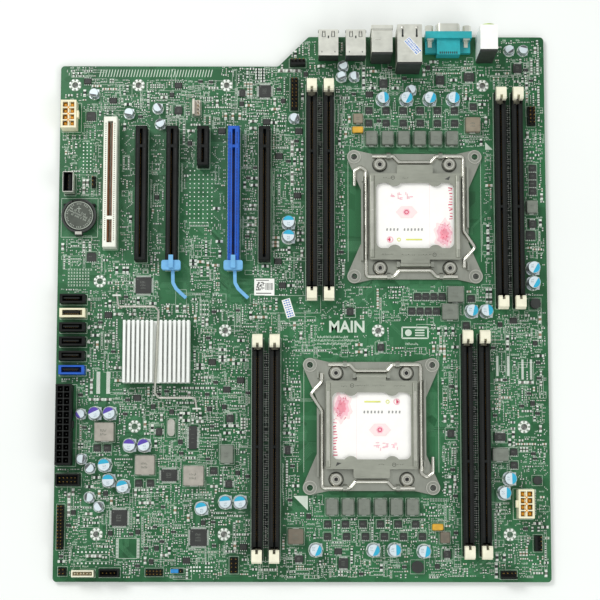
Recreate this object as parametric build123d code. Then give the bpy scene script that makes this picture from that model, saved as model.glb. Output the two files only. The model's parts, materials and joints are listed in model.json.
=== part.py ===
from build123d import *
import os
from math import cos, radians, sin

# A two-socket workstation motherboard.  Millimetres.  The model is laid out in the board's own frame
# first: x to the right, y towards the rear connectors, z up from the board's underside, with the origin
# at the middle of the board's full outline.  save() then moves every piece by one offset, so that the
# finished part has its origin at the middle of its base.

os.makedirs("parts", exist_ok=True)

# ---- Board ----
board_width = 322.5
board_depth = 361.0
board_thickness = 1.57
board_corner_radius = 2.5
rear_step = 20.3
rear_step_x = 4.0
fixing_hole_radius = 2.0
underside_depth = 2.0

# ---- Shared clearances and wire ----
running_gap = 0.05
free_gap = 0.3
peg_gap = 0.05

# ---- Memory sockets ----
memory_width = 7.0
memory_height = 9.2
memory_pitch = 11.2
memory_pivot_span = 139.1
memory_cheek = 1.0
memory_cheek_height = 9.9
memory_slot_width = 1.5
memory_slot_depth = 6.5
memory_key_width = 1.6
latch_pivot_height = 3.0
latch_pin_radius = 0.8
latch_foot_height = 1.4
latch_toe_height = 0.9
latch_head_width = 6.6
latch_head_length = 8.6
latch_head_bottom = 10.5
latch_top = 17.0
latch_side_gap = 0.1
latch_opening_angle = 28.0

# ---- Expansion sockets ----
slot_pitch = 20.32
slot_height = 11.25
pcie_width = 7.5
pcie_length = 89.5
pcie_short_length = 26.5
pcie_slot_width = 1.9
pcie_slot_depth = 8.0
pci_width = 8.8
pci_length = 87.0
pci_rear_offset = 6.1
pci_key_offset = 24.0
retainer_width = 12.5
retainer_cheek = 1.2
retainer_pivot_height = 2.6
retainer_pin_radius = 0.9
retainer_opening_angle = 9.0

# ---- CPU sockets ----
frame_sheet = 1.5
frame_screw_pitch_x = 46.0
frame_screw_pitch_y = 69.2
cooler_pitch = 80.0
cooler_hole_radius = 2.0
cooler_clearance_radius = 2.6
ear_radius = 4.6
ear_boss = 0.5
frame_half_width = 35.5
frame_half_length = 42.0
wall_sheet = 1.2
wall_height = 5.6
socket_width = 58.5
socket_length = 51.0
socket_height = 3.0
socket_gap = 0.6
card_width = 52.5
card_length = 45.0
card_thickness = 0.8
lever_radius = 1.25
lever_shaft_y = 40.2
lever_crank_depth = 4.2
lever_arm_x = 32.3
active_lever_opening_angle = 130.0
hinge_lever_opening_angle = 115.0
plate_sheet = 1.2
plate_bottom = 5.0
plate_half_width = 30.2
plate_rear_y = 28.1
plate_front_y = 29.4
plate_tongue_y = 33.9
plate_window_width = 51.2
plate_window_length = 43.5
plate_hinge_y = 32.6
plate_hinge_height = 4.9
plate_knuckle_radius = 1.5
plate_trunnion_radius = 0.8
plate_opening_angle = 110.0
screw_head_radius = 4.2
screw_head_height = 2.8
screw_shank_radius = 1.7
screw_gap = 0.2
backplate_width = 58.0
backplate_length = 84.0

# ---- Chipset cooler ----
heatsink_width = 43.7
heatsink_length = 40.7
heatsink_base = 3.0
heatsink_height = 10.0
fins_per_side = 7
fin_thickness = 1.7
fin_pitch = 2.95
fin_channel = 4.5
clip_radius = 0.8
chipset_size = 25.0
chipset_height = 2.2

# ---- Coin cell ----
cell_radius = 10.0
cell_height = 3.2
cell_gap = 0.15
holder_wall = 1.3
holder_floor = 1.2
cell_travel = 12.0

# ---- Header jumper ----
jumper_travel = 9.0
pin_pitch = 2.54
pin_size = 0.64
header_base = 2.5
header_pin_top = 8.5

# ---- Rear connectors ----
port_overhang = 1.0
serial_reach = 6.7
usb_width = 13.1
usb_depth = 17.5
usb_height = 15.6
ps2_width = 13.5
ps2_depth = 18.2
ps2_height = 27.0
ps2_port_radius = 4.6
lan_width = 16.1
lan_depth = 25.2
lan_height = 28.5
back_cover_depth = 1.2
serial_width = 30.7
serial_height = 12.5
jackscrew_pitch = 24.99
jackscrew_hole_radius = 1.25
audio_width = 11.4
audio_depth = 16.4
audio_height = 33.0
jack_hole_radius = 1.85

# ---- Power connectors ----
cell_pitch = 4.2
power_height = 12.8
power_wall = 0.9

# ---- Serial ATA ports ----
sata_width = 16.7
sata_depth = 5.8
sata_height = 8.8
sata_pitch = 9.35

# ---- Places worked out from the sizes above ----
left_edge = -board_width / 2
right_edge = board_width / 2
front_edge = -board_depth / 2
rear_edge = board_depth / 2
top = board_thickness

slot_rear_y = 117.5
slot_x = [-106.35 + slot_pitch * place for place in range(5)]
pci_x = -126.7
cpu_places = {1: (74.15, 58.6, 0), 2: (44.95, -79.9, 180)}
memory_banks = {"a": (6.05, 75.2), "b": (130.95, 69.7), "c": (-29.25, -94.6), "d": (107.35, -91.9)}
memory_keys = {"a": 26.0, "b": -5.5, "c": 1.0, "d": -11.0}
heatsink_place = (-95.1, -31.9)
cell_place = (left_edge + 13.85, 58.5)
jumper_place = (-80.8, front_edge + 7.2)

fixing_holes = [
    (left_edge + 9.55, rear_edge - 33.2),
    (-109.4, rear_edge - 33.2),
    (-50.7, rear_edge - 33.2),
    (right_edge - 41.15, rear_edge - 33.2),
    (left_edge + 27.85, 15.3),
    (-50.7, -17.2),
    (49.8, -17.2),
    (-109.4, -80.2),
    (right_edge - 16.45, -80.2),
    (left_edge + 27.85, front_edge + 30.5),
    (-50.7, front_edge + 30.5),
    (right_edge - 26.55, front_edge + 30.5),
]


def block(x, y, bottom, size_x, size_y, size_z):
    """A box centred on x and y that starts at the height given."""
    return Pos(x, y, bottom + size_z / 2) * Box(size_x, size_y, size_z)


def rod(x, y, bottom, radius, height):
    """An upright cylinder that starts at the height given."""
    return Pos(x, y, bottom + height / 2) * Cylinder(radius, height)


def rod_x(x, y, z, radius, length):
    """A cylinder along x, centred on the point given."""
    return Pos(x, y, z) * Rot(0, 90, 0) * Cylinder(radius, length)


def rod_y(x, y, z, radius, length):
    """A cylinder along y, centred on the point given."""
    return Pos(x, y, z) * Rot(90, 0, 0) * Cylinder(radius, length)


def prism(points, bottom, height):
    """A flat outline of straight sides, extruded upwards."""
    face = make_face(Polyline(*points, close=True))
    return Pos(0, 0, bottom) * extrude(face, height)


def wire(points, corner_radius, radius):
    """A round wire bent along the points given, in one level plane."""
    path = FilletPolyline(*points, radius=corner_radius)
    start = Plane(origin=path @ 0, z_dir=path % 0)
    return sweep(start * Circle(radius), path)


def solids_of(pieces):
    found = []
    for piece in pieces:
        found.extend(piece.solids())
    return found


def save(name, *pieces):
    """Moves the pieces into the part's frame and writes them as one node."""
    moved = Pos(0, -serial_reach / 2, underside_depth) * Compound(solids_of(pieces))
    export_step(moved, f"parts/{name}.step")


# Pegs go through the board and stand level with the backplates.  The board is drilled for each of them.
peg_places = []


def peg(x, y, radius):
    peg_places.append((x, y, radius))
    return rod(x, y, -underside_depth, radius, underside_depth + top + 0.5)


# ---------------------------------------------------------------- memory sockets and latches

def memory_socket(x, y, key_offset):
    """One long socket: slotted body, open ends with two cheeks each, pivot holes and board pegs."""
    cheek_end = memory_pivot_span / 2 + 2.5
    pocket_start = memory_pivot_span / 2 - 6.2
    pocket_width = memory_width - 2 * memory_cheek
    body = block(x, y, top, memory_width, 2 * cheek_end, memory_height)
    slot_bottom = top + memory_height - memory_slot_depth
    slot_length = 2 * pocket_start + 1
    slot = block(x, y, slot_bottom, memory_slot_width, slot_length, memory_slot_depth + 1)
    key = block(x, y + key_offset, slot_bottom, memory_slot_width, memory_key_width, memory_slot_depth)
    body = body - slot + key
    for end in (1, -1):
        pivot_y = y + end * memory_pivot_span / 2
        cheek_length = cheek_end - pocket_start
        cheek_y = y + end * (pocket_start + cheek_length / 2)
        body += block(x, cheek_y, top, memory_width, cheek_length, memory_cheek_height)
        body -= block(x, cheek_y + end, top + 0.4, pocket_width, cheek_length + 2, memory_cheek_height + 2)
        body -= rod_x(x, pivot_y, top + latch_pivot_height, latch_pin_radius + running_gap, memory_width + 1)
        body += peg(x, y + end * (pocket_start - 6), 1.2)
    return body


def memory_latch(x, y, end):
    """A card latch: arm between the cheeks, ejecting toe, pivot pin, and a head with a thumb ledge."""
    pivot_y = y + end * memory_pivot_span / 2
    arm_width = memory_width - 2 * memory_cheek - 2 * latch_side_gap
    pivot_z = top + latch_pivot_height
    arm_height = latch_head_bottom - latch_foot_height + 1
    arm = block(x, pivot_y, top + latch_foot_height, arm_width, 4.0, arm_height)
    toe = block(x, pivot_y - end * 3.2, top + latch_toe_height, arm_width, 3.4, 1.4)
    pin = rod_x(x, pivot_y, pivot_z, latch_pin_radius, memory_width - 0.2)
    head_height = latch_top - latch_head_bottom
    head = block(x, pivot_y, top + latch_head_bottom, latch_head_width, latch_head_length, head_height)
    head = chamfer(head.edges().filter_by(Axis.X).group_by(Axis.Z)[-1], 1.2)
    card_slot = block(x, pivot_y - end * 3.4, top + latch_head_bottom - 1, 1.8, 3.4, head_height + 2)
    dish = rod_x(x, pivot_y + end * 5.6, top + latch_top - 1.2, 2.6, latch_head_width + 1)
    return arm + toe + pin + head - card_slot - dish


def memory():
    sockets = []
    for bank, (x, y) in memory_banks.items():
        for place in (0, 1):
            socket_x = x + place * memory_pitch
            sockets.append(memory_socket(socket_x, y, memory_keys[bank]))
            for end, side in ((1, "rear"), (-1, "front")):
                save(f"memory_latch_{bank}{place + 1}_{side}", memory_latch(socket_x, y, end))
    save("memory_sockets", *sockets)


# ---------------------------------------------------------------- expansion sockets

def pcie_socket(x, length, with_cheeks):
    """A slotted edge socket with its key bar, its pegs and, where a retainer hangs on it, two cheeks."""
    y = slot_rear_y - length / 2
    body = block(x, y, top, pcie_width, length, slot_height)
    body = chamfer(body.edges().group_by(Axis.Z)[-1], 0.5)
    slot_bottom = top + slot_height - pcie_slot_depth
    body -= block(x, y, slot_bottom, pcie_slot_width, length - 4, pcie_slot_depth + 1)
    body += block(x, slot_rear_y - 13.5, slot_bottom, pcie_slot_width, 1.8, pcie_slot_depth - 0.3)
    body += peg(x, slot_rear_y - 5, 1.2)
    body += peg(x, slot_rear_y - length + 5, 1.2)
    if with_cheeks:
        front = slot_rear_y - length
        for side in (1, -1):
            cheek_x = x + side * (pcie_width - retainer_cheek) / 2
            body += block(cheek_x, front - 2.6, top, retainer_cheek, 5.4, 5.2)
        body -= rod_x(x, front - 2.6, top + retainer_pivot_height, retainer_pin_radius + running_gap, 20)
    return body


def retainer(x):
    """The sprung card retainer: arm on its pin, block behind the slot and a long curved release lever."""
    front = slot_rear_y - pcie_length
    pivot_y = front - 2.6
    arm_width = pcie_width - 2 * retainer_cheek - 2 * latch_side_gap
    arm = block(x, pivot_y, top + 0.9, arm_width, 3.4, 6.0)
    pin = rod_x(x, pivot_y, top + retainer_pivot_height, retainer_pin_radius, pcie_width - 0.2)
    head = block(x, pivot_y - 0.6, top + 5.7, retainer_width, 6.4, 5.6)
    head = fillet(head.edges().filter_by(Axis.Z), 1.4)
    hook = block(x, front + 0.9, top + slot_height + free_gap, 3.0, 4.6, 1.8)
    hook_neck = block(x, pivot_y - 0.2, top + 10.5, 3.0, 5.0, slot_height + free_gap + 1.8 - 10.5)
    tail_start = (x + 1.0, pivot_y - 2)
    tail_points = [tail_start, (x + 1.2, front - 14.5), (x + 3.4, front - 18.5), (x + 9.8, front - 24.5)]
    path = FilletPolyline(*tail_points, radius=3.2)
    start = Plane(origin=path @ 0, z_dir=path % 0)
    tail = Pos(0, 0, top + 6.4) * sweep(start * Rectangle(2.2, 2.2), path)
    return arm + pin + head + hook + hook_neck + tail


def pci_socket():
    """The older, wider slot, which stands further back than the others."""
    y = slot_rear_y + pci_rear_offset - pci_length / 2
    body = block(pci_x, y, top, pci_width, pci_length, slot_height)
    body = chamfer(body.edges().group_by(Axis.Z)[-1], 0.5)
    body -= block(pci_x, y, top + 4.2, 3.4, pci_length - 6, slot_height)
    body += block(pci_x, y - pci_key_offset, top + 3, 3.6, 2.2, slot_height - 3.2)
    body += peg(pci_x, y + pci_length / 2 - 5, 1.2)
    body += peg(pci_x, y - pci_length / 2 + 5, 1.2)
    return body


def expansion():
    save("pci_socket", pci_socket())
    black = [pcie_socket(slot_x[0], pcie_length, False)]
    black.append(pcie_socket(slot_x[1], pcie_length, True))
    black.append(pcie_socket(slot_x[2], pcie_short_length, False))
    black.append(pcie_socket(slot_x[4], pcie_length, False))
    save("pcie_sockets_black", *black)
    save("pcie_socket_blue", pcie_socket(slot_x[3], pcie_length, True))
    save("card_retainer_1", retainer(slot_x[1]))
    save("card_retainer_2", retainer(slot_x[3]))


# ---------------------------------------------------------------- CPU sockets

# These are drawn about the socket's own centre, with z up from the board's top and y towards the active
# lever's shaft.

lever_height = frame_sheet + lever_radius + 0.35
quarters = [(x, y) for x in (1, -1) for y in (1, -1)]


def ear(side_x, side_y):
    """One corner ear of the frame, which tapers from the frame's side to the cooler's screw hole."""
    centre = cooler_pitch / 2
    reach = centre + 0.93 * ear_radius
    outline = [
        (side_x * (frame_half_width - 6), side_y * 18),
        (side_x * frame_half_width, side_y * 18),
        (side_x * reach, side_y * (centre - 0.4 * ear_radius)),
        (side_x * (centre - 0.4 * ear_radius), side_y * reach),
        (side_x * 28, side_y * frame_half_length),
        (side_x * 28, side_y * (frame_half_length - 6)),
    ]
    boss = rod(side_x * centre, side_y * centre, 0, ear_radius, frame_sheet + ear_boss)
    return prism(outline, 0, frame_sheet) + boss


def cpu_frame():
    """The stamped frame: base, ears, side walls, shaft bearings, trunnion lugs and lever stops."""
    body = block(0, 0, 0, 2 * frame_half_width, 2 * frame_half_length, frame_sheet)
    for side_x, side_y in quarters:
        body += ear(side_x, side_y)
    body -= block(0, 0, -1, socket_width + 2 * socket_gap, socket_length + 2 * socket_gap, 4)
    wall_x = frame_half_width - wall_sheet / 2
    body += block(wall_x, 12.5, 0, wall_sheet, 41, wall_height)
    body += block(-wall_x, -4, 0, wall_sheet, 52, wall_height)
    for side_y in (1, -1):
        for side_x in (1, -1):
            body += rod_x(side_x * 17.2, side_y * lever_shaft_y, lever_height, lever_radius + 1.15, 2.6)
        body -= rod_x(0, side_y * lever_shaft_y, lever_height, lever_radius + running_gap, 40)
    for side_x in (1, -1):
        body += block(side_x * 11.2, -plate_hinge_y - 0.05, 0, 2.0, 3.3, plate_hinge_height + 1.7)
    body -= rod_x(0, -plate_hinge_y, plate_hinge_height, plate_trunnion_radius + running_gap, 30)
    stop_x = lever_arm_x + lever_radius + 0.35
    body += block(stop_x + 1.0, -lever_shaft_y + 6.5, 0, 1.2, 5, lever_height + 1.6)
    body += block(-stop_x - 0.7, lever_shaft_y - 15.4, 0, 1.2, 3.6, lever_height + 1.2)
    for side_x, side_y in quarters:
        body -= rod(side_x * cooler_pitch / 2, side_y * cooler_pitch / 2, -1, cooler_hole_radius, 5)
        screw_x = side_x * frame_screw_pitch_x / 2
        screw_y = side_y * frame_screw_pitch_y / 2
        body -= rod(screw_x, screw_y, -1, screw_shank_radius + screw_gap, 5)
    return body


def crank_points(side_y, ends):
    """The part of a lever along its shaft: two straight journals with a shallow crank between them."""
    inner = lever_shaft_y - lever_crank_depth
    row = [(-14.0, lever_shaft_y), (-10.3, inner), (10.3, inner), (14.0, lever_shaft_y)]
    points = [(ends[0], lever_shaft_y)] + row + [(ends[1], lever_shaft_y)]
    return [(x, side_y * y) for x, y in points]


def active_lever():
    points = crank_points(1, (-28, lever_arm_x))
    points += [(lever_arm_x, -10), (lever_arm_x + 7.3, -21)]
    points += [(lever_arm_x + 0.2, -28.6), (lever_arm_x + 0.2, -34)]
    ferrule = rod_y(lever_arm_x + 0.2, -32.4, 0, lever_radius + 0.3, 4)
    return Pos(0, 0, lever_height) * (wire(points, 2.0, lever_radius) + ferrule)


def hinge_lever():
    inner = lever_shaft_y - lever_crank_depth
    points = [(28.0, -lever_shaft_y), (14.0, -lever_shaft_y), (10.3, -inner), (-10.3, -inner)]
    points += [(-14.0, -lever_shaft_y), (-lever_arm_x, -lever_shaft_y)]
    points += [(-lever_arm_x, 30.5), (-lever_arm_x - 3.6, 33.2)]
    points += [(-lever_arm_x - 7.6, 30.5), (-lever_arm_x - 7.6, 20)]
    ferrule = rod_y(-lever_arm_x, 27.5, 0, lever_radius + 0.25, 3)
    return Pos(0, 0, lever_height) * (wire(points, 2.0, lever_radius) + ferrule)


def load_plate():
    """The plate that holds the processor down: window with four lobes, side beads, tongue and knuckle."""
    length = plate_rear_y + plate_front_y
    middle = (plate_rear_y - plate_front_y) / 2
    body = block(0, middle, plate_bottom, 2 * plate_half_width, length, plate_sheet)
    body = fillet(body.edges().filter_by(Axis.Z), 1.5)
    window = block(0, 0, plate_bottom - 1, plate_window_width, plate_window_length, plate_sheet + 2)
    window = fillet(window.edges().filter_by(Axis.Z), 4.0)
    for side_x, side_y in quarters:
        lobe_y = plate_window_length / 2 + 2.8
        window -= rod(side_x * 13.4, side_y * lobe_y, plate_bottom - 2, 5.0, plate_sheet + 4)
    body -= window
    for side_x in (1, -1):
        bead_x = side_x * (plate_half_width - 1.9)
        bead = block(bead_x, middle, plate_bottom, 3.4, length - 3, plate_sheet + 1.1)
        body += fillet(bead.edges().filter_by(Axis.Y).group_by(Axis.Z)[-1], 1.0)
    tongue_length = plate_tongue_y - plate_rear_y + 1
    tongue = block(0, plate_tongue_y - tongue_length / 2, plate_bottom, 23.6, tongue_length, plate_sheet)
    body += fillet(tongue.edges().filter_by(Axis.Z), 1.5)
    body += block(0, -plate_hinge_y + 2.2, plate_bottom, 19, 2.6, plate_sheet)
    body += rod_x(0, -plate_hinge_y, plate_hinge_height, plate_knuckle_radius, 19.8)
    body += rod_x(0, -plate_hinge_y, plate_hinge_height, plate_trunnion_radius, 24.4)
    return body


def frame_screw(x, y):
    head = rod(x, y, frame_sheet, screw_head_radius, screw_head_height)
    head = fillet(head.edges().group_by(Axis.Z)[-1], 0.9)
    star = rod(x, y, frame_sheet + screw_head_height - 1.4, 0.95, 3)
    for turn in range(6):
        tip_x = x + 1.25 * cos(radians(60 * turn))
        tip_y = y + 1.25 * sin(radians(60 * turn))
        star += rod(tip_x, tip_y, frame_sheet + screw_head_height - 1.4, 0.42, 3)
    shank_length = frame_sheet + board_thickness + underside_depth
    return head - star + rod(x, y, frame_sheet - shank_length, screw_shank_radius, shank_length + 0.5)


def backplate():
    body = block(0, 0, -board_thickness - underside_depth, backplate_width, backplate_length, underside_depth)
    body = chamfer(body.edges().filter_by(Axis.Z), 9)
    body -= block(0, 0, -board_thickness - underside_depth - 1, 32, 26, underside_depth + 2)
    for side_x, side_y in quarters:
        x = side_x * frame_screw_pitch_x / 2
        y = side_y * frame_screw_pitch_y / 2
        body -= rod(x, y, -board_thickness - underside_depth - 1, screw_shank_radius + running_gap, 5)
    return body


def cpu_sockets():
    bodies = []
    cards = []
    backplates = []
    screws = []
    for number, (x, y, turn) in cpu_places.items():
        place = Pos(x, y, top) * Rot(0, 0, turn)
        socket = block(0, 0, 0, socket_width, socket_length, socket_height)
        bodies.append(place * chamfer(socket.edges().filter_by(Axis.Z), 1.5))
        card = block(0, 0, socket_height, card_width, card_length, card_thickness)
        cards.append(place * fillet(card.edges().filter_by(Axis.Z), 2.0))
        backplates.append(place * backplate())
        for side_x, side_y in quarters:
            screw_x = side_x * frame_screw_pitch_x / 2
            screw_y = side_y * frame_screw_pitch_y / 2
            screws.append(place * frame_screw(screw_x, screw_y))
        save(f"cpu_frame_{number}", place * cpu_frame())
        save(f"cpu_load_plate_{number}", place * load_plate())
        save(f"cpu_active_lever_{number}", place * active_lever())
        save(f"cpu_hinge_lever_{number}", place * hinge_lever())
    save("cpu_socket_bodies", *bodies)
    save("cpu_socket_cards", *cards)
    save("cpu_backplates", *backplates)
    save("cpu_frame_screws", *screws)


# ---------------------------------------------------------------- chipset and its cooler

def chipset():
    x, y = heatsink_place
    package = block(x, y, top, chipset_size, chipset_size, 1.0)
    die = block(x, y, top + 1.0, chipset_size * 0.55, chipset_size * 0.55, chipset_height - 1.0)
    save("chipset", package + die)

    base_bottom = top + chipset_height
    sink = block(x, y, base_bottom, heatsink_width, heatsink_length, heatsink_base)
    fin_height = heatsink_height - heatsink_base
    for side in (1, -1):
        for place in range(fins_per_side):
            fin_x = x + side * ((fin_channel + fin_thickness) / 2 + place * fin_pitch)
            fin_bottom = base_bottom + heatsink_base
            sink += block(fin_x, y, fin_bottom, fin_thickness, heatsink_length, fin_height)
    save("chipset_heatsink", sink)

    wire_z = base_bottom + heatsink_base + clip_radius
    reach_x = heatsink_width / 2 + 3.4
    reach_y = heatsink_length / 2 + 9.5
    points = [(-reach_x - 1.4, reach_y + 9.0), (-reach_x, reach_y), (-1.5, reach_y), (1.0, reach_y - 3)]
    points += [(-point_x, -point_y) for point_x, point_y in reversed(points)]
    clip = Pos(x, y, wire_z) * wire(points, 1.6, clip_radius)
    save("heatsink_clip", clip)

    staples = []
    for side in (1, -1):
        staple_x = x - side * (reach_x + 1.2)
        staple_y = y + side * (reach_y + 7.2)
        bar_z = wire_z + clip_radius + running_gap
        staple = block(staple_x, staple_y, bar_z, 5.4, 1.0, 1.0)
        for leg in (1, -1):
            staple += block(staple_x + leg * 2.2, staple_y, top, 1.0, 1.0, bar_z + 1.0 - top)
        staples.append(staple)
    save("heatsink_clip_staples", *staples)


# ---------------------------------------------------------------- coin cell

def coin_cell():
    x, y = cell_place
    pocket = cell_radius + cell_gap
    holder = rod(x, y, top, pocket + holder_wall, holder_floor + cell_height + 0.4)
    holder -= rod(x, y, top + holder_floor, pocket, cell_height + 2)
    holder -= block(x, y + pocket, top + holder_floor + 0.6, 9, 6, 6)
    tab_y = y - pocket - holder_wall - 0.5
    tab = block(x, tab_y, top, 5.0, 2.6, holder_floor + cell_height + 1.4)
    save("battery_holder", holder + tab + peg(x - 6, y, 0.9) + peg(x + 6, y, 0.9))
    cell = rod(x, y, top + holder_floor, cell_radius, cell_height)
    cell = fillet(cell.edges().group_by(Axis.Z)[-1], 0.5)
    save("coin_cell", cell)


# ---------------------------------------------------------------- rear connectors

def shell_leg(x, y):
    """A folded shell leg that goes through the board."""
    peg_places.append((x, y, 0.8))
    return block(x, y, -underside_depth, 1.0, 1.0, underside_depth + top + 0.5)


def usb_port(x, mouth_y, z):
    """The hollow of one USB port, and the tongue that stands in it."""
    hollow = block(x, mouth_y - 5, z, 12.0, 10.2, 4.9)
    tongue = block(x, mouth_y - 6.2, z + 2.6, 10.4, 8.4, 1.9)
    return hollow, tongue


def usb_stack(x):
    front = rear_edge + port_overhang
    y = front - usb_depth / 2
    body = block(x, y, top, usb_width, usb_depth, usb_height)
    for z in (top + 1.2, top + 8.6):
        hollow, tongue = usb_port(x, front, z)
        body = body - hollow + tongue
    for leg_x in (-5, 5):
        for leg_y in (-5.5, 4.5):
            body += shell_leg(x + leg_x, y + leg_y)
    return body


def back_cover(x, back, width, height):
    """The moulded insulator that shows as a thin step behind a tall connector's shell."""
    return block(x, back - back_cover_depth / 2 + 0.1, top, width - 0.6, back_cover_depth + 0.2, height - 0.8)


def ps2_stack(x):
    """Two round ports, one above the other, in a folded shell with a wider rear rim."""
    front = rear_edge + port_overhang
    body = block(x, front - ps2_depth / 2, top, ps2_width, ps2_depth, ps2_height)
    body += block(x, front - 1.2, top, ps2_width + 0.8, 2.4, ps2_height - 0.6)
    for z in (top + 7.0, top + 20.0):
        body -= rod_y(x, front - 3.9, z, ps2_port_radius, 8)
    body += back_cover(x, front - ps2_depth, ps2_width, ps2_height)
    return body + shell_leg(x - 5, front - 8) + shell_leg(x + 5, front - 8)


def lan_stack(x):
    """A network socket above two USB ports in one shell."""
    front = rear_edge + port_overhang
    body = block(x, front - lan_depth / 2, top, lan_width, lan_depth, lan_height)
    for z in (top + 1.0, top + 7.6):
        hollow, tongue = usb_port(x, front, z)
        body = body - hollow + tongue
    body -= block(x, front - 6, top + 15.0, 11.8, 12.2, 8.2)
    body -= block(x, front - 6, top + 22.5, 6.2, 12.2, 2.6)
    body += back_cover(x, front - lan_depth, lan_width, lan_height)
    for leg_x in (-6.5, 6.5):
        body += shell_leg(x + leg_x, front - 8) + shell_leg(x + leg_x, front - 20)
    return body


def serial_port(x):
    """The moulded body and, apart from it, the metal D-shell with its two jackscrews and brackets."""
    face = rear_edge + serial_reach - 5.9
    body = block(x, face - 2.3, top, serial_width, 4.6, serial_height)
    body += block(x, face - 9.6, top, 15.4, 11.0, serial_height - 2.5)
    for side in (1, -1):
        body += block(x + side * 11.4, face - 8.5, top, 7.2, 8.4, 4.0)
    body += peg(x - 5, face - 9, 1.1) + peg(x + 5, face - 9, 1.1)
    d_outline = [(-8.4, -4.1), (8.4, -4.1), (7.0, 4.1), (-7.0, 4.1)]
    shell_face = make_face(Polyline(*d_outline, close=True))
    outer = fillet(shell_face.vertices(), 1.8)
    inner = offset(outer, -0.5)
    rim = Plane((x, face + 5.9, top + 6.3), x_dir=(1, 0, 0), z_dir=(0, -1, 0))
    tube = extrude(rim * (outer - inner), 5.9)
    floor = extrude(Plane((x, face + 0.8, top + 6.3), x_dir=(1, 0, 0), z_dir=(0, -1, 0)) * outer, 0.8)
    shell = tube + floor
    screws = []
    for side in (1, -1):
        screw_x = x + side * jackscrew_pitch / 2
        head = Plane((screw_x, face + 5.0, top + 6.3), x_dir=(1, 0, 0), z_dir=(0, -1, 0))
        hexagon = extrude(head * RegularPolygon(2.7, 6), 5.0)
        screws.append(hexagon - rod_y(screw_x, face + 2.6, top + 6.3, jackscrew_hole_radius, 5.4))
        plate_x = x + side * 12.0
        bracket = block(plate_x, face - 6.9, top + 4.0, 2.6, 4.4, 1.0)
        screws.append(bracket + block(plate_x, face - 5.0, top + 4.0, 4.4, 0.8, 7.5))
    save("serial_port_body", body)
    save("serial_port_shell", shell, *screws)


def audio_stack(x):
    """Three round sockets, one above the other, each with a raised ring at the rear."""
    front = rear_edge + port_overhang - 1.2
    body = block(x, front - audio_depth / 2, top, audio_width, audio_depth, audio_height)
    body += back_cover(x, front - audio_depth, audio_width, audio_height)
    for z in (top + 6.0, top + 16.5, top + 27.0):
        body += rod_y(x, front + 0.55, z, 4.2, 1.3)
        body -= rod_y(x, front - 5.0, z, jack_hole_radius, 14)
    return body + peg(x - 3.5, front - 6, 0.9) + peg(x + 3.5, front - 6, 0.9)


def rear_connectors():
    save("usb_stacks", usb_stack(17.0), usb_stack(35.1))
    save("ps2_stack", ps2_stack(52.0))
    save("lan_stack", lan_stack(69.9))
    serial_port(96.8)
    save("audio_stack", audio_stack(121.4))


# ---------------------------------------------------------------- power, drive and header connectors

def power_connector(x, y, rows, columns, latch_side):
    """A shrouded power socket with one square cell for each terminal and a latch rib on one side."""
    size_x = rows * cell_pitch + 2 * power_wall
    size_y = columns * cell_pitch + 2 * power_wall
    body = block(x, y, top, size_x, size_y, power_height)
    for row in range(rows):
        for column in range(columns):
            cell_x = x + (row - (rows - 1) / 2) * cell_pitch
            cell_y = y + (column - (columns - 1) / 2) * cell_pitch
            body -= block(cell_x, cell_y, top + 3.2, cell_pitch - 0.8, cell_pitch - 0.8, power_height)
            body += block(cell_x, cell_y, top + 3.0, 0.8, 0.8, 7.6)
    body += block(x + latch_side * (size_x / 2 + 0.7), y, top + 6.5, 1.6, 4.6, 5.2)
    for end in (1, -1):
        body += peg(x, y + end * (size_y / 2 - 2.6), 0.9)
    return body


def sata_port(y):
    x = left_edge + 2.6 + sata_width / 2
    body = block(x, y, top, sata_width, sata_depth, sata_height)
    body -= block(x, y, top + 2.4, sata_width - 3.6, sata_depth - 2.2, sata_height)
    body += block(x - 0.6, y + 0.3, top + 2.2, 10.4, 1.2, sata_height - 3.0)
    return body + peg(x - 6.4, y, 0.7) + peg(x + 6.4, y, 0.7)


def internal_usb(y):
    x = left_edge + 7.4
    body = block(x, y, top, 6.6, 13.1, 13.6)
    body -= block(x, y, top + 3.6, 5.0, 12.0, 12)
    return body + block(x + 0.9, y, top + 3.4, 1.8, 10.4, 8.4) + peg(x, y - 4, 0.7) + peg(x, y + 4, 0.7)


def header(x, y, pins_x, pins_y, pitch, wall=0.0):
    """A pin header, with a shroud round it where wall isn't zero."""
    size_x = pins_x * pitch + 2 * wall
    size_y = pins_y * pitch + 2 * wall
    if wall:
        body = block(x, y, top, size_x + 1, size_y + 1, header_pin_top)
        body -= block(x, y, top + header_base, size_x - wall, size_y - wall, header_pin_top)
    else:
        body = block(x, y, top, size_x, size_y, header_base)
    for column in range(pins_x):
        for row in range(pins_y):
            pin_x = x + (column - (pins_x - 1) / 2) * pitch
            pin_y = y + (row - (pins_y - 1) / 2) * pitch
            body += block(pin_x, pin_y, top + 1, pin_size, pin_size, header_pin_top - 1.4)
    return body


def fan_header(x, y, turned):
    """A four-pin fan header with its tall back wall."""
    body = header(x, y, 1, 4, pin_pitch)
    body += block(x - 3.0, y, top, 1.4, 4 * pin_pitch, 7.6)
    body += block(x - 1.8, y, top, 2.6, 4 * pin_pitch, header_base)
    return Pos(x, y, 0) * Rot(0, 0, turned) * Pos(-x, -y, 0) * body


def jumper():
    x, y = jumper_place
    cap = block(x - pin_pitch / 2, y, top + header_base, 2 * pin_pitch - 0.2, pin_pitch - 0.2, 6.4)
    cap = fillet(cap.edges().filter_by(Axis.Z), 0.4)
    for side in (0, 1):
        hole_x = x - side * pin_pitch
        cap -= block(hole_x, y, top, pin_size + 0.1, pin_size + 0.1, header_pin_top + 0.1)
    save("jumper_cap", cap)


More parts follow.
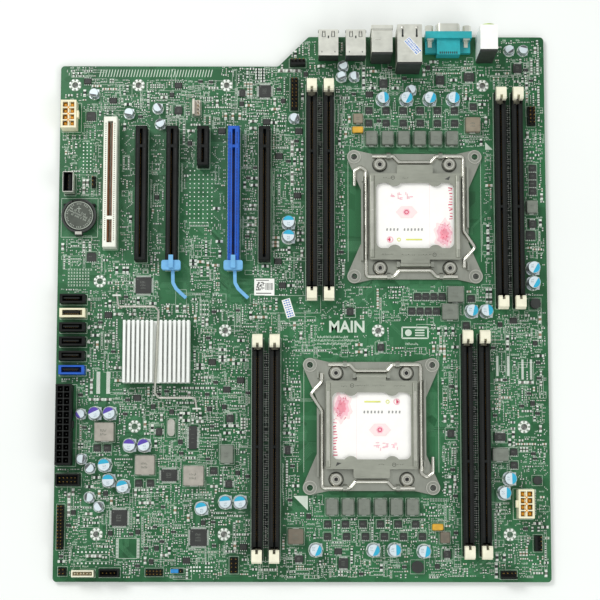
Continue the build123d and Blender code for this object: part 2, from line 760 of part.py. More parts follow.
def board_connectors():
    save("main_power_connector", power_connector(left_edge + 6.6, -79.5, 2, 12, 1))
    cpu_power = [power_connector(left_edge + 6.9, 125.1, 2, 4, 1), power_connector(144.2, -130.3, 2, 4, -1)]
    save("cpu_power_connectors", *cpu_power)
    ports = [sata_port(3.0 - sata_pitch * place) for place in range(6)]
    save("sata_port_white", ports[1])
    save("sata_port_blue", ports[5])
    save("sata_ports_black", ports[0], *ports[2:5])
    save("internal_usb_port", internal_usb(79.5))
    headers = [
        header(left_edge + 4.6, -145.4, 2, 13, 2.2),
        header(left_edge + 9.4, -115.0, 5, 2, pin_pitch, 0.9),
        header(left_edge + 6.3, -173.8, 2, 2, pin_pitch),
        header(left_edge + 20.0, -175.0, 6, 1, 2.0, 0.6),
        header(-124.4, -174.6, 4, 1, pin_pitch, 0.8),
        header(-95.6, -174.4, 5, 2, 2.2),
        header(jumper_place[0], jumper_place[1], 3, 1, pin_pitch),
        header(-44.2, -169.7, 2, 4, pin_pitch),
        header(-5.5, 141.1, 2, 9, 2.4),
        header(right_edge - 9.0, 126.3, 2, 5, pin_pitch),
        header(left_edge + 23.0, 81.4, 1, 3, pin_pitch),
        fan_header(-3.3, 163.6, 90),
        fan_header(right_edge - 7.4, -155.5, 0),
        fan_header(133.4, front_edge + 6.0, 90),
        fan_header(-69.3, 131.4, 0),
    ]
    save("pin_headers", *headers)
    jumper()


# ---------------------------------------------------------------- soldered components

def can(x, y, radius, height):
    """An aluminium can capacitor on its moulded foot."""
    foot = block(x, y, top, 2 * radius + 0.3, 2 * radius + 0.3, 1.0)
    foot = chamfer(foot.edges().filter_by(Axis.Z).group_by(Axis.X)[0], radius * 0.3)
    body = rod(x, y, top + 0.8, radius, height - 0.8)
    return foot + fillet(body.edges().group_by(Axis.Z)[-1], 0.7)


def row(x, y, pitch, count):
    return [(x + pitch * place, y) for place in range(count)]


def capacitors():
    large = row(53.5, 137.5, 15.6, 4)
    large += [(-9.2, 54.2), (-9.2, 44.8), (152.0, 24.0), (152.0, 14.2), (111.2, -4.4), (120.9, -4.4)]
    large += [(134.9, -114.0), (131.2, -123.2)]
    large += [(8.8, -159.9), (46.1, -159.9), (59.7, -159.9), (78.8, -160.7)]
    large += [(-65.2, -133.2), (-49.9, -129.2), (-40.3, -129.2)]
    large += [(-128.4, -105.4), (-125.6, -115.4), (-116.3, -119.2)]
    large += [(-135.2, -71.8), (-125.6, -71.8), (-112.3, -92.5), (-102.9, -92.5)]
    small = [(-138.7, 141.0), (-115.3, 127.7), (-96.3, 131.2), (-94.5, 120.6), (-5.5, 124.6)]
    small += [(27.0, 160.2), (25.9, 153.0), (34.5, 153.0), (72.4, 143.9), (138.0, 171.0), (147.2, 171.0)]
    small += [(-144.6, -72.2), (-143.6, -101.4), (-138.0, -107.4), (-138.2, -126.2), (-132.0, -132.2)]
    cans = [can(x, y, 4.0, 8.5) for x, y in large]
    cans += [can(x, y, 3.0, 5.5) for x, y in small]
    save("can_capacitors", *cans)


def choke(x, y, size_x, size_y, height):
    """A moulded choke: a rounded block with a winding recess in its front and rear faces."""
    body = block(x, y, top, size_x, size_y, height)
    body = fillet(body.edges().filter_by(Axis.Z), 0.9)
    body = chamfer(body.edges().group_by(Axis.Z)[-1], 0.4)
    for side in (1, -1):
        body -= block(x, y + side * size_y / 2, top - 1, size_x * 0.45, 1.0, height - 0.2)
    return body


def chokes():
    pieces = [choke(x, y, 7.4, 9.2, 5.6) for x, y in row(45.7, 110.9, 10.7, 6)]
    pieces += [choke(x, y, 7.6, 10.4, 5.6) for x, y in row(19.2, -132.3, 10.45, 6)]
    pieces += [choke(113.1, 120.0, 9.6, 9.8, 5.4), choke(36.9, 124.4, 6.4, 6.4, 3.6)]
    pieces += [choke(100.6, 6.5, 10.4, 10.4, 5.4), choke(96.9, -5.0, 10.4, 10.4, 5.4)]
    pieces += [choke(-128.8, -84.0, 12.4, 12.0, 6.0), choke(-102.1, -105.4, 12.4, 12.4, 6.0)]
    pieces += [choke(-70.5, -112.3, 13.0, 12.8, 6.0), choke(128.7, -98.4, 10.4, 8.4, 5.0)]
    pieces += [choke(-49.0, -98.3, 8.2, 11.8, 5.4), choke(-4.2, -151.2, 10.0, 10.0, 5.4)]
    pieces += [choke(92.4, -151.9, 6.2, 7.2, 4.5), choke(151.6, 64.8, 7.2, 8.4, 5.0)]
    save("chokes", *pieces)


def transistor(x, y, size):
    """A power transistor: thin moulded body with its solder tab at the rear."""
    body = block(x, y, top, size, size * 0.82, 1.1)
    return body + block(x, y + size * 0.46, top, size * 0.84, size * 0.22, 0.4)


def power_transistors():
    places = row(44.2, 129.9, 11.4, 6) + row(44.2, 121.4, 11.4, 6)
    places += row(75.9, 5.1, 5.3, 4) + row(72.0, -4.6, 5.4, 4)
    places += row(16.6, -143.6, 11.4, 6) + row(16.4, -151.6, 12.3, 6)
    places += [(152.7, 91.0 - 5.2 * place) for place in range(4)]
    places += [(-133.6, -94.6), (-127.0, -94.6), (-106.2, -117.4), (-98.6, -117.4)]
    places += [(137.8, -96.9), (137.9, -105.4), (111.1, 3.8), (107.6, -14.0), (113.7, 132.6), (-57.6, -109.3)]
    pieces = [transistor(x, y, 4.6) for x, y in places]
    pieces += [transistor(x, y, 6.0) for x, y in ((-140.7, 125.6), (-139.1, 31.0), (150.8, 45.8))]
    save("power_transistors", *pieces)


def chip(x, y, size_x, size_y, height):
    body = block(x, y, top + 0.1, size_x, size_y, height - 0.1)
    body = chamfer(body.edges().group_by(Axis.Z)[-1], 0.15)
    return body + block(x, y, top, size_x * 0.8, size_y * 0.8, 0.2)


def chip_packages():
    sizes = [
        (-104.6, 12.6, 10.4, 10.6), (-25.1, 143.2, 8.0, 8.0), (91.7, 151.0, 5.8, 5.8),
        (111.1, 153.0, 7.0, 5.6), (143.5, 159.0, 5.8, 5.8), (-82.6, 130.1, 5.2, 5.2),
        (-118.6, -139.4, 10.2, 10.2), (-67.2, -152.0, 10.8, 10.8), (-86.6, -111.9, 10.3, 7.5),
        (-93.4, -83.6, 4.0, 5.0), (-71.3, -87.4, 5.2, 15.0), (128.9, -86.8, 7.5, 5.0),
        (26.6, -168.4, 6.4, 6.4), (-2.2, -165.6, 5.6, 4.4), (-47.2, -74.9, 5.0, 5.0),
        (-47.8, -117.4, 4.4, 5.0), (93.8, -162.6, 5.0, 4.6), (152.2, 53.8, 5.0, 5.0),
        (53.9, 148.6, 5.6, 5.6), (96.8, -84.6, 4.4, 5.0), (-9.4, -95.4, 3.4, 5.8),
        (31.4, -4.6, 4.4, 5.0), (51.4, -28.2, 4.6, 4.6), (-40.2, 142.0, 4.0, 5.0),
    ]
    save("chip_packages", *[chip(x, y, size_x, size_y, 1.3) for x, y, size_x, size_y in sizes])


def small_components():
    """Tantalum capacitors, the clock crystal's can and the wire-wound drums."""
    pieces = [choke(36.7, 116.9, 7.2, 4.2, 2.9), choke(87.8, -145.2, 7.2, 4.2, 2.9)]
    crystal = block(-85.4, -81.0, top, 4.6, 11.2, 3.6)
    pieces.append(fillet(crystal.edges().filter_by(Axis.Z), 2.2))
    for x, y, radius in ((153.1, 0.6, 3.4), (152.8, -115.0, 2.8), (74.5, -170.7, 3.9)):
        flanges = rod(x, y, top, radius, 1.0) + rod(x, y, top + 3.2, radius, 1.0)
        pieces.append(flanges + rod(x, y, top + 0.5, radius * 0.75, 3.0))
    save("small_components", *pieces)


# ---------------------------------------------------------------- board

def circuit_board():
    """The bare board, drilled for its fixings, the CPU frames and every peg."""
    step_y = rear_edge - rear_step
    outline = [
        (left_edge, front_edge),
        (right_edge, front_edge),
        (right_edge, rear_edge),
        (rear_step_x, rear_edge),
        (rear_step_x - rear_step, step_y),
        (left_edge, step_y),
    ]
    body = prism(outline, 0, board_thickness)
    body = fillet(body.edges().filter_by(Axis.Z), board_corner_radius)
    drills = [rod(x, y, -1, fixing_hole_radius, board_thickness + 2) for x, y in fixing_holes]
    for x, y, radius in peg_places:
        drills.append(rod(x, y, -1, radius + peg_gap, board_thickness + 2))
    for x, y, turn in cpu_places.values():
        for side_x, side_y in quarters:
            hole_x = x + side_x * cooler_pitch / 2
            hole_y = y + side_y * cooler_pitch / 2
            drills.append(rod(hole_x, hole_y, -1, cooler_clearance_radius, board_thickness + 2))
            hole_x = x + side_x * frame_screw_pitch_x / 2
            hole_y = y + side_y * frame_screw_pitch_y / 2
            drills.append(rod(hole_x, hole_y, -1, screw_shank_radius + screw_gap, board_thickness + 2))
    body -= drills
    save("circuit_board", body)


memory()
expansion()
cpu_sockets()
chipset()
coin_cell()
rear_connectors()
board_connectors()
capacitors()
chokes()
power_transistors()
chip_packages()
small_components()
circuit_board()
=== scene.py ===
import json
import math
import random

import bpy
import numpy as np
from mathutils import Matrix, Vector


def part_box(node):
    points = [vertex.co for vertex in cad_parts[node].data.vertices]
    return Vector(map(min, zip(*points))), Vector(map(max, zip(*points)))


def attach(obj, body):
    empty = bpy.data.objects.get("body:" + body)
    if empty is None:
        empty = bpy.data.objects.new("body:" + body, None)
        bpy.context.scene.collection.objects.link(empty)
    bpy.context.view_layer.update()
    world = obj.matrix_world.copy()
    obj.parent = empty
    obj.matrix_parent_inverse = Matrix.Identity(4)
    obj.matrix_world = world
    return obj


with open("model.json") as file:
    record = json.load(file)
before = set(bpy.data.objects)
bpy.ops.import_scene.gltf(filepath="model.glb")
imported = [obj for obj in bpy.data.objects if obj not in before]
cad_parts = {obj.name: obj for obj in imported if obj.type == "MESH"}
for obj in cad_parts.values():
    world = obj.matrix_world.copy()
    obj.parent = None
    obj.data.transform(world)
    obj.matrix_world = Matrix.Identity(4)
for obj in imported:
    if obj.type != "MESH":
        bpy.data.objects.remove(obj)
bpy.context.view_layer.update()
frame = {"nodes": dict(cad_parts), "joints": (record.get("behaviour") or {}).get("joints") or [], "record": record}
record = frame["record"]
rng = random.Random(20261)

# The frame and Blender are in metres. Places and sizes of parts are in millimetres here, and Batch turns
# them into metres; the floor, the lamps and the patterns of the materials are given in metres.
MM = 0.001


def box(node):
    """The low and high corner of a CAD piece, in millimetres."""
    return [[value / MM for value in corner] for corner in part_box(node)]


(LEFT, FRONT, UNDER), (RIGHT, REAR, TOP) = box("circuit_board")
CENTRE_X = (LEFT + RIGHT) / 2
CENTRE_Y = (FRONT + REAR) / 2


# ---------------------------------------------------------------- materials

def srgb(r, g, b):
    """A colour given as 0 to 255 screen values, as linear light."""
    return tuple(((c / 255 + 0.055) / 1.055) ** 2.4 if c > 10 else c / 255 / 12.92
                 for c in (r, g, b)) + (1.0,)


class Nodes:
    """A short way to write a node tree."""

    def __init__(self, name):
        self.material = bpy.data.materials.new(name)
        self.material.use_nodes = True
        self.tree = self.material.node_tree
        self.shader = self.tree.nodes["Principled BSDF"]
        self.coords = self.add("ShaderNodeTexCoord").outputs["Object"]

    def add(self, kind, **settings):
        """A new node with its settings."""
        node = self.tree.nodes.new(kind)
        for key, value in settings.items():
            setattr(node, key, value)
        return node

    def link(self, source, target):
        """Joins an output to an input."""
        self.tree.links.new(source, target)

    def put(self, node, **values):
        """Fills a node's inputs by name, with numbers or with other nodes' outputs."""
        for key, value in values.items():
            socket = node.inputs[key.replace("_", " ")]
            if isinstance(value, bpy.types.NodeSocket):
                self.link(value, socket)
            else:
                socket.default_value = value
        return node

    def scaled(self, x, y, z):
        """Object coordinates stretched along each axis."""
        mapping = self.put(self.add("ShaderNodeMapping"), Vector=self.coords)
        mapping.inputs["Scale"].default_value = (x, y, z)
        return mapping.outputs["Vector"]

    def noise(self, scale, detail=3.0, rough=0.55, stretch=(1, 1, 1)):
        """Cloudy values from 0 to 1."""
        vector = self.scaled(*stretch)
        node = self.put(self.add("ShaderNodeTexNoise"), Vector=vector, Scale=scale, Detail=detail,
                        Roughness=rough)
        return node.outputs["Fac"]

    def ramp(self, value, low, high, a=0.0, b=1.0):
        """Maps low..high onto a..b and clamps it."""
        node = self.add("ShaderNodeMapRange")
        node.clamp = True
        for key, number in (("From Min", low), ("From Max", high), ("To Min", a), ("To Max", b)):
            node.inputs[key].default_value = number
        self.link(value, node.inputs["Value"])
        return node.outputs["Result"]

    def mix(self, share, a, b):
        """A colour between two others."""
        node = self.add("ShaderNodeMix", data_type="RGBA")
        for socket, value in ((node.inputs[0], share), (node.inputs[6], a), (node.inputs[7], b)):
            if isinstance(value, bpy.types.NodeSocket):
                self.link(value, socket)
            else:
                socket.default_value = value
        return node.outputs[2]

    def math(self, operation, a, b=0.0):
        """One step of arithmetic."""
        node = self.add("ShaderNodeMath", operation=operation)
        for socket, value in zip(node.inputs, (a, b)):
            if isinstance(value, bpy.types.NodeSocket):
                self.link(value, socket)
            else:
                socket.default_value = value
        return node.outputs[0]

    def bump(self, height, strength, distance=0.0002):
        """Uneven relief on the surface."""
        node = self.put(self.add("ShaderNodeBump"), Height=height, Strength=strength, Distance=distance)
        self.link(node.outputs["Normal"], self.shader.inputs["Normal"])

    def finish(self, color, roughness, **fixed):
        """Fills in the shader and gives the finished material."""
        for key, value in (("Base Color", color), ("Roughness", roughness)):
            if isinstance(value, bpy.types.NodeSocket):
                self.link(value, self.shader.inputs[key])
            else:
                self.shader.inputs[key].default_value = value
        for key, value in fixed.items():
            self.shader.inputs[key.replace("_", " ")].default_value = value
        return self.material


def plastic(name, color, rough=0.45, grain=900, spread=0.25, bump=0.08, level=0.5):
    """Moulded plastic: slight mottling, a fine moulded grain and duller patches."""
    n = Nodes(name)
    color = srgb(*color)
    dark = tuple(c * (1 - spread) for c in color[:3]) + (1,)
    light = tuple(min(1, c * (1 + spread * 0.6)) for c in color[:3]) + (1,)
    share = n.ramp(n.noise(220, 4), 0.3, 0.7)
    tint = n.mix(share, dark, light)
    gloss = n.ramp(n.noise(90, 3), 0.3, 0.7, rough - 0.08, rough + 0.12)
    n.bump(n.noise(grain * 3, 2), bump, 0.00012)
    return n.finish(tint, gloss, Specular_IOR_Level=level)


def metal(name, color, rough=0.3, stretch=(1, 40, 1), wear=0.25, metallic=1.0):
    """Rolled or plated metal: long fine brushing, cloudy patches and small handling marks."""
    n = Nodes(name)
    color = srgb(*color)
    brushed = n.noise(160, 5, 0.7, stretch)
    cloud = n.noise(55, 4)
    dark = tuple(c * (1 - wear) for c in color[:3]) + (1,)
    tint = n.mix(n.ramp(cloud, 0.3, 0.7), dark, color)
    tint = n.mix(n.ramp(brushed, 0.35, 0.65, 0.0, 0.35), tint,
                 tuple(min(1, c * 1.18) for c in color[:3]) + (1,))
    gloss = n.ramp(brushed, 0.25, 0.75, rough - 0.09, rough + 0.14)
    n.bump(n.noise(700, 3, 0.6, stretch), 0.06, 0.0001)
    return n.finish(tint, gloss, Metallic=metallic)


def board_material(name, tint_low, tint_high, trace):
    """Solder mask over copper: pours, buried tracks in three directions, weave and a laminate edge."""
    n = Nodes(name)
    patches = n.add("ShaderNodeTexVoronoi", distance="CHEBYCHEV")
    n.put(patches, Vector=n.coords, Scale=55.0)
    pour = n.ramp(patches.outputs["Distance"], 0.15, 0.9)
    cloud = n.ramp(n.noise(14, 5), 0.32, 0.68)
    green = n.mix(cloud, tint_low, tint_high)
    split = n.add("ShaderNodeSeparateXYZ")
    n.link(n.coords, split.inputs[0])
    x, y = split.outputs[0], split.outputs[1]
    diagonal = n.math("ADD", x, y)
    choose = n.add("ShaderNodeTexVoronoi", distance="CHEBYCHEV")
    n.put(choose, Vector=n.coords, Scale=95.0)
    pick = n.add("ShaderNodeSeparateColor")
    n.link(choose.outputs["Color"], pick.inputs[0])
    lines = []
    for axis, pitch in ((x, 0.00062), (y, 0.00062), (diagonal, 0.00088)):
        wave = n.math("SINE", n.math("MULTIPLY", axis, 2 * math.pi / pitch))
        lines.append(n.ramp(wave, 0.1, 0.5))
    first = n.math("LESS_THAN", pick.outputs[0], 0.33)
    last = n.math("GREATER_THAN", pick.outputs[0], 0.72)
    middle = n.math("SUBTRACT", n.math("SUBTRACT", 1.0, first), last)
    shown = n.math("ADD", n.math("MULTIPLY", lines[0], first), n.math("MULTIPLY", lines[1], middle))
    shown = n.math("ADD", shown, n.math("MULTIPLY", lines[2], last))
    routed = n.math("MULTIPLY", shown, n.ramp(pick.outputs[1], 0.35, 0.5))
    green = n.mix(n.math("MULTIPLY", routed, 0.5), green, trace)
    green = n.mix(n.math("MULTIPLY", n.ramp(pour, 0.55, 0.6), 0.28), green, tint_high)
    normal = n.add("ShaderNodeSeparateXYZ")
    n.link(n.add("ShaderNodeNewGeometry").outputs["Normal"], normal.inputs[0])
    side = n.math("LESS_THAN", n.math("ABSOLUTE", normal.outputs[2]), 0.5)
    green = n.mix(side, green, srgb(104, 112, 62))
    weave = n.math("ADD", n.math("MULTIPLY", routed, 0.7), n.math("MULTIPLY", n.noise(1500, 2), 0.3))
    n.bump(weave, 0.16, 0.00005)
    gloss = n.ramp(n.noise(40, 3), 0.3, 0.7, 0.34, 0.5)
    return n.finish(green, gloss, Specular_IOR_Level=0.45)


board_top = board_material("solder_mask", srgb(8, 70, 34), srgb(24, 98, 52), srgb(60, 134, 86))
black_plastic = plastic("black_plastic", (11, 15, 13), 0.55, level=0.25)
charcoal = plastic("charcoal", (40, 44, 41), 0.5)
brown_plastic = plastic("brown_plastic", (128, 74, 38), 0.5)
pci_white = plastic("pci_white", (240, 242, 228), 0.4, spread=0.08)
cream = plastic("cream_nylon", (240, 236, 212), 0.42, spread=0.1)
power_white = plastic("power_white", (238, 232, 200), 0.42, spread=0.1)
blue_plastic = plastic("blue_plastic", (0, 84, 190), 0.4, spread=0.18)
retainer_blue = plastic("retainer_blue", (112, 176, 222), 0.4, spread=0.12)
jumper_blue = plastic("jumper_blue", (40, 140, 210), 0.4)
teal = plastic("teal_plastic", (34, 168, 176), 0.36, spread=0.12)
audio_white = plastic("audio_white", (250, 250, 246), 0.3, spread=0.04)
lime = plastic("lime_ring", (176, 206, 64), 0.35)
jack_blue = plastic("jack_blue", (90, 150, 214), 0.35)
jack_pink = plastic("jack_pink", (222, 128, 150), 0.35)
mouse_green = plastic("mouse_green", (70, 160, 96), 0.4)
keyboard_purple = plastic("keyboard_purple", (112, 84, 160), 0.4)
epoxy = plastic("epoxy", (44, 46, 44), 0.5, grain=1600, bump=0.14)
epoxy_mark = plastic("epoxy_mark", (104, 108, 102), 0.6, spread=0.1)
silk = plastic("silkscreen", (206, 218, 204), 0.6, spread=0.12, bump=0.03)
card_white = plastic("card_white", (252, 250, 246), 0.55, grain=500, spread=0.03, bump=0.1)
card_pink = plastic("card_pink", (240, 150, 166), 0.6, grain=500, spread=0.22)
card_red = plastic("card_red", (214, 70, 104), 0.6, grain=500, spread=0.15)
card_blush = plastic("card_blush", (250, 226, 226), 0.6, grain=500, spread=0.03)
card_grey = plastic("card_grey", (150, 150, 148), 0.6, spread=0.1)
card_yellow = plastic("card_yellow", (224, 228, 110), 0.6, spread=0.1)
label_white = plastic("label_white", (246, 246, 240), 0.5, spread=0.03)
label_ink = plastic("label_ink", (60, 62, 60), 0.6)
label_blue = plastic("label_blue", (70, 120, 200), 0.5)
ferrite = plastic("ferrite", (118, 124, 114), 0.62, grain=1300, spread=0.16, bump=0.2)
ferrite_tan = plastic("ferrite_tan", (140, 130, 112), 0.6, grain=1300, spread=0.16, bump=0.2)
ferrite_pale = plastic("ferrite_pale", (166, 160, 150), 0.6, grain=1300, spread=0.16, bump=0.2)
ferrite_brown = plastic("ferrite_brown", (112, 104, 90), 0.6, grain=1300, spread=0.16, bump=0.2)
tantalum = plastic("tantalum", (222, 170, 52), 0.45)
tan_body = plastic("ceramic_tan", (150, 126, 100), 0.5, grain=2000)
grey_body = plastic("ceramic_grey", (112, 112, 104), 0.5, grain=2000)
resistor_body = plastic("resistor_black", (34, 36, 36), 0.35)
cyan_mark = plastic("cyan_mark", (40, 170, 206), 0.35, spread=0.1)
violet_mark = plastic("violet_mark", (84, 62, 168), 0.35, spread=0.1)
# Dark print on the small cans' tops, and painted shade in the vias' holes.
dark_mark_and_hole_shade = plastic("dark_mark_and_hole_shade", (84, 88, 90), 0.5)
steel = metal("frame_steel", (168, 170, 160), 0.36, (40, 1, 1))
plate_steel = metal("plate_steel", (172, 174, 162), 0.4, (1, 30, 1))
bright_steel = metal("bright_steel", (226, 224, 214), 0.18, (1, 1, 1), wear=0.12)
shell_steel = metal("shell_steel", (222, 222, 212), 0.34, (1, 1, 30), wear=0.1, metallic=0.8)
aluminium = metal("aluminium", (240, 243, 238), 0.42, (1, 40, 1), wear=0.05, metallic=0.55)
can_metal = metal("can_metal", (214, 222, 226), 0.3, (30, 30, 1), wear=0.06)
tin = metal("tin", (222, 226, 218), 0.45, (1, 1, 1), wear=0.12, metallic=0.4)
gold = metal("gold", (206, 160, 76), 0.3, (1, 1, 1), wear=0.2)
black_steel = metal("black_steel", (40, 42, 42), 0.5, (1, 1, 1), metallic=0.4)
solder = metal("solder", (232, 236, 230), 0.45, (1, 1, 1), wear=0.12, metallic=0.35)
cell_metal = metal("cell_metal", (84, 88, 82), 0.34, (1, 1, 1), wear=0.2)
can_top = metal("can_top", (214, 226, 232), 0.4, (1, 1, 1), wear=0.06, metallic=0.3)
amber = plastic("amber_terminal", (232, 160, 24), 0.4, spread=0.25)
# Painted shade: dark films laid over socket openings and screw recesses, darker copies of the black, blue and
# white plastics.
recess_shade_black = plastic("recess_shade_black", (4, 6, 6), 0.6)
recess_shade_blue = plastic("recess_shade_blue", (0, 22, 84), 0.6)
recess_shade_pale = plastic("recess_shade_pale", (120, 116, 104), 0.6)
crystal = metal("crystal_can", (214, 208, 196), 0.4, (1, 1, 1), metallic=0.5)
pad_grey = plastic("pad_grey", (122, 138, 122), 0.5)
# Painted shade: a darker green for the band between the memory sockets.
painted_shade_green = plastic("painted_shade_green", (12, 40, 26), 0.5)
coil_mark = plastic("coil_mark", (106, 110, 100), 0.6)
can_ink = plastic("can_ink", (150, 168, 176), 0.5)
cell_ink = plastic("cell_ink", (168, 176, 164), 0.5)
card_petal = plastic("card_petal", (246, 190, 202), 0.6, grain=500, spread=0.12)
# Painted shade for the turned grooves of the frame screws' heads.
groove_shade_steel = metal("groove_shade_steel", (128, 128, 118), 0.45, (1, 1, 1), metallic=0.6)
# Painted shadow round the frame screws' feet, and also the load plates' printed marks.
shadow_and_print_steel = metal("shadow_and_print_steel", (74, 76, 70), 0.55, (1, 1, 1), metallic=0.4)


# ---------------------------------------------------------------- meshes

PIECE_FACES = 45000
SHARP_EDGE = 35


class Batch:
    """Many small solids gathered into one piece."""

    def __init__(self, name, body="root", slot=None):
        self.name, self.body, self.slot = name, body, slot
        self.points, self.faces, self.tints, self.materials = [], [], [], []
        self.count = 0

    def add(self, points, faces, material):
        """Adds one solid's points and faces."""
        if material not in self.materials:
            self.materials.append(material)
        index = self.materials.index(material)
        self.points.append(np.asarray(points, float))
        self.faces.extend([[corner + self.count for corner in face] for face in faces])
        self.tints.extend([index] * len(faces))
        self.count += len(points)

    def block(self, x, y, z, size_x, size_y, size_z, material, turn=0.0, edge=0.12):
        """A box on its base point, with chamfered top edges, turned about its own upright axis."""
        hx, hy = size_x / 2, size_y / 2
        cut = min(edge * min(size_x, size_y), 0.5 * size_z)
        outline = ((-hx, -hy), (hx, -hy), (hx, hy), (-hx, hy))
        inner = ((-hx + cut, -hy + cut), (hx - cut, -hy + cut), (hx - cut, hy - cut), (-hx + cut, hy - cut))
        local = [(a, b, 0) for a, b in outline] + [(a, b, size_z - cut) for a, b in outline]
        local += [(a, b, size_z) for a, b in inner]
        faces = [(3, 2, 1, 0), (8, 9, 10, 11)]
        for i in range(4):
            j = (i + 1) % 4
            faces += [(i, j, 4 + j, 4 + i), (4 + i, 4 + j, 8 + j, 8 + i)]
        self.add(self.place(local, x, y, z, turn), faces, material)

    def place(self, local, x, y, z, turn):
        """Local points turned about the upright axis and moved into place."""
        local = np.asarray(local, float)
        c, s = math.cos(turn), math.sin(turn)
        out = np.empty_like(local)
        out[:, 0] = x + c * local[:, 0] - s * local[:, 1]
        out[:, 1] = y + s * local[:, 0] + c * local[:, 1]
        out[:, 2] = z + local[:, 2]
        return out

    def prism(self, outline, z, height, material, x=0.0, y=0.0, turn=0.0):
        """A flat convex or simple outline given anticlockwise, extruded upwards."""
        n = len(outline)
        local = [(a, b, 0) for a, b in outline] + [(a, b, height) for a, b in outline]
        faces = [tuple(reversed(range(n))), tuple(range(n, 2 * n))]
        faces += [(i, (i + 1) % n, n + (i + 1) % n, n + i) for i in range(n)]
        self.add(self.place(local, x, y, z, turn), faces, material)

    def disc(self, x, y, z, radius, height, material, sides=24, dome=0.0, low_radius=None):
        """A round solid with an optional dome; low_radius makes it a cone."""
        base = radius if low_radius is None else low_radius
        angles = [2 * math.pi * i / sides for i in range(sides)]
        local = [(base * math.cos(a), base * math.sin(a), 0) for a in angles]
        local += [(radius * math.cos(a), radius * math.sin(a), height) for a in angles]
        faces = [tuple(reversed(range(sides)))]
        faces += [(i, (i + 1) % sides, sides + (i + 1) % sides, sides + i) for i in range(sides)]
        if dome:
            local.append((0, 0, height + dome))
            faces += [(sides + i, sides + (i + 1) % sides, 2 * sides) for i in range(sides)]
        else:
            faces.append(tuple(range(sides, 2 * sides)))
        self.add(self.place(local, x, y, z, 0), faces, material)

    def ring(self, x, y, z, inner, outer, height, material, sides=32):
        """A flat ring."""
        angles = [2 * math.pi * i / sides for i in range(sides)]
        local = []
        for radius, level in ((inner, 0), (outer, 0), (outer, height), (inner, height)):
            local += [(radius * math.cos(a), radius * math.sin(a), level) for a in angles]
        faces = []
        for i in range(sides):
            j = (i + 1) % sides
            for k in range(4):
                low, high = k * sides, ((k + 1) % 4) * sides
                faces.append((low + j, low + i, high + i, high + j))
        faces = [tuple(reversed(f)) for f in faces]
        self.add(self.place(local, x, y, z, 0), faces, material)

    def bar(self, a, b, width, z, height, material):
        """A flat straight strip between two points."""
        dx, dy = b[0] - a[0], b[1] - a[1]
        length = math.hypot(dx, dy)
        if length < 1e-4:
            return
        x, y = (a[0] + b[0]) / 2, (a[1] + b[1]) / 2
        outline = ((-length / 2, -width / 2), (length / 2, -width / 2), (length / 2, width / 2),
                   (-length / 2, width / 2))
        self.prism(outline, z, height, material, x, y, math.atan2(dy, dx))

    def make(self):
        """Turns the shapes into one object, or several of at most PIECE_FACES faces each."""
        points = np.concatenate(self.points) * MM
        parts = range(0, len(self.faces), PIECE_FACES)
        for number, start in enumerate(parts, 1):
            faces = self.faces[start:start + PIECE_FACES]
            used = sorted({corner for face in faces for corner in face})
            place = {corner: k for k, corner in enumerate(used)}
            name = self.name if len(parts) == 1 else f"{self.name}_{number}"
            mesh = bpy.data.meshes.new(name)
            mesh.from_pydata(points[used].tolist(), [],
                             [[place[corner] for corner in face] for face in faces])
            for material in self.materials:
                mesh.materials.append(material)
            mesh.polygons.foreach_set("material_index",
                                      np.array(self.tints[start:start + PIECE_FACES], np.int32))
            mesh.update()
            piece = bpy.data.objects.new(name, mesh)
            bpy.context.scene.collection.objects.link(piece)
            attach(piece, self.body)


def islands(node):
    """The corners, middle and size of each separate solid of a CAD node, and its polygons."""
    mesh = frame["nodes"][node].data
    points = np.empty(len(mesh.vertices) * 3, np.float32)
    mesh.vertices.foreach_get("co", points)
    points = points.reshape(-1, 3)
    merged, which = np.unique(np.round(points * 2e5).astype(np.int64), axis=0, return_inverse=True)
    which = which.ravel()
    ends = np.empty(len(mesh.edges) * 2, np.int32)
    mesh.edges.foreach_get("vertices", ends)
    a, b = which[ends[0::2]], which[ends[1::2]]
    label = np.arange(len(merged))
    while True:
        low = np.minimum(label[a], label[b])
        before = label.copy()
        np.minimum.at(label, a, low)
        np.minimum.at(label, b, low)
        label = label[label]
        if (label == before).all():
            break
    first = np.empty(len(mesh.polygons), np.int32)
    mesh.polygons.foreach_get("loop_start", first)
    corner = np.empty(len(mesh.loops), np.int32)
    mesh.loops.foreach_get("vertex_index", corner)
    polygon_label = label[which[corner[first]]]
    found = []
    for value in np.unique(label):
        mine = points[label[which] == value].astype(float) / MM
        low, high = mine.min(0), mine.max(0)
        found.append({"low": low, "high": high, "mid": (low + high) / 2, "size": high - low,
                      "polygons": np.nonzero(polygon_label == value)[0]})
    return found


def paint(node, *materials):
    """Gives a CAD node its materials; the first covers all of it."""
    mesh = frame["nodes"][node].data
    mesh.materials.clear()
    for material in materials:
        mesh.materials.append(material)
    mesh.polygons.foreach_set("material_index", np.zeros(len(mesh.polygons), np.int32))
    return mesh


def paint_islands(node, materials, choose):
    """Gives each separate solid of a node the material that choose() names for it."""
    mesh = paint(node, *materials)
    index = np.zeros(len(mesh.polygons), np.int32)
    for island in islands(node):
        index[island["polygons"]] = choose(island)
    mesh.polygons.foreach_set("material_index", index)
    mesh.update()


def smooth(node):
    """Smooth shading, with the sharper edges kept."""
    mesh = frame["nodes"][node].data
    mesh.polygons.foreach_set("use_smooth", np.ones(len(mesh.polygons), bool))
    mesh.set_sharp_from_angle(angle=math.radians(SHARP_EDGE))


# ---------------------------------------------------------------- materials on the CAD pieces

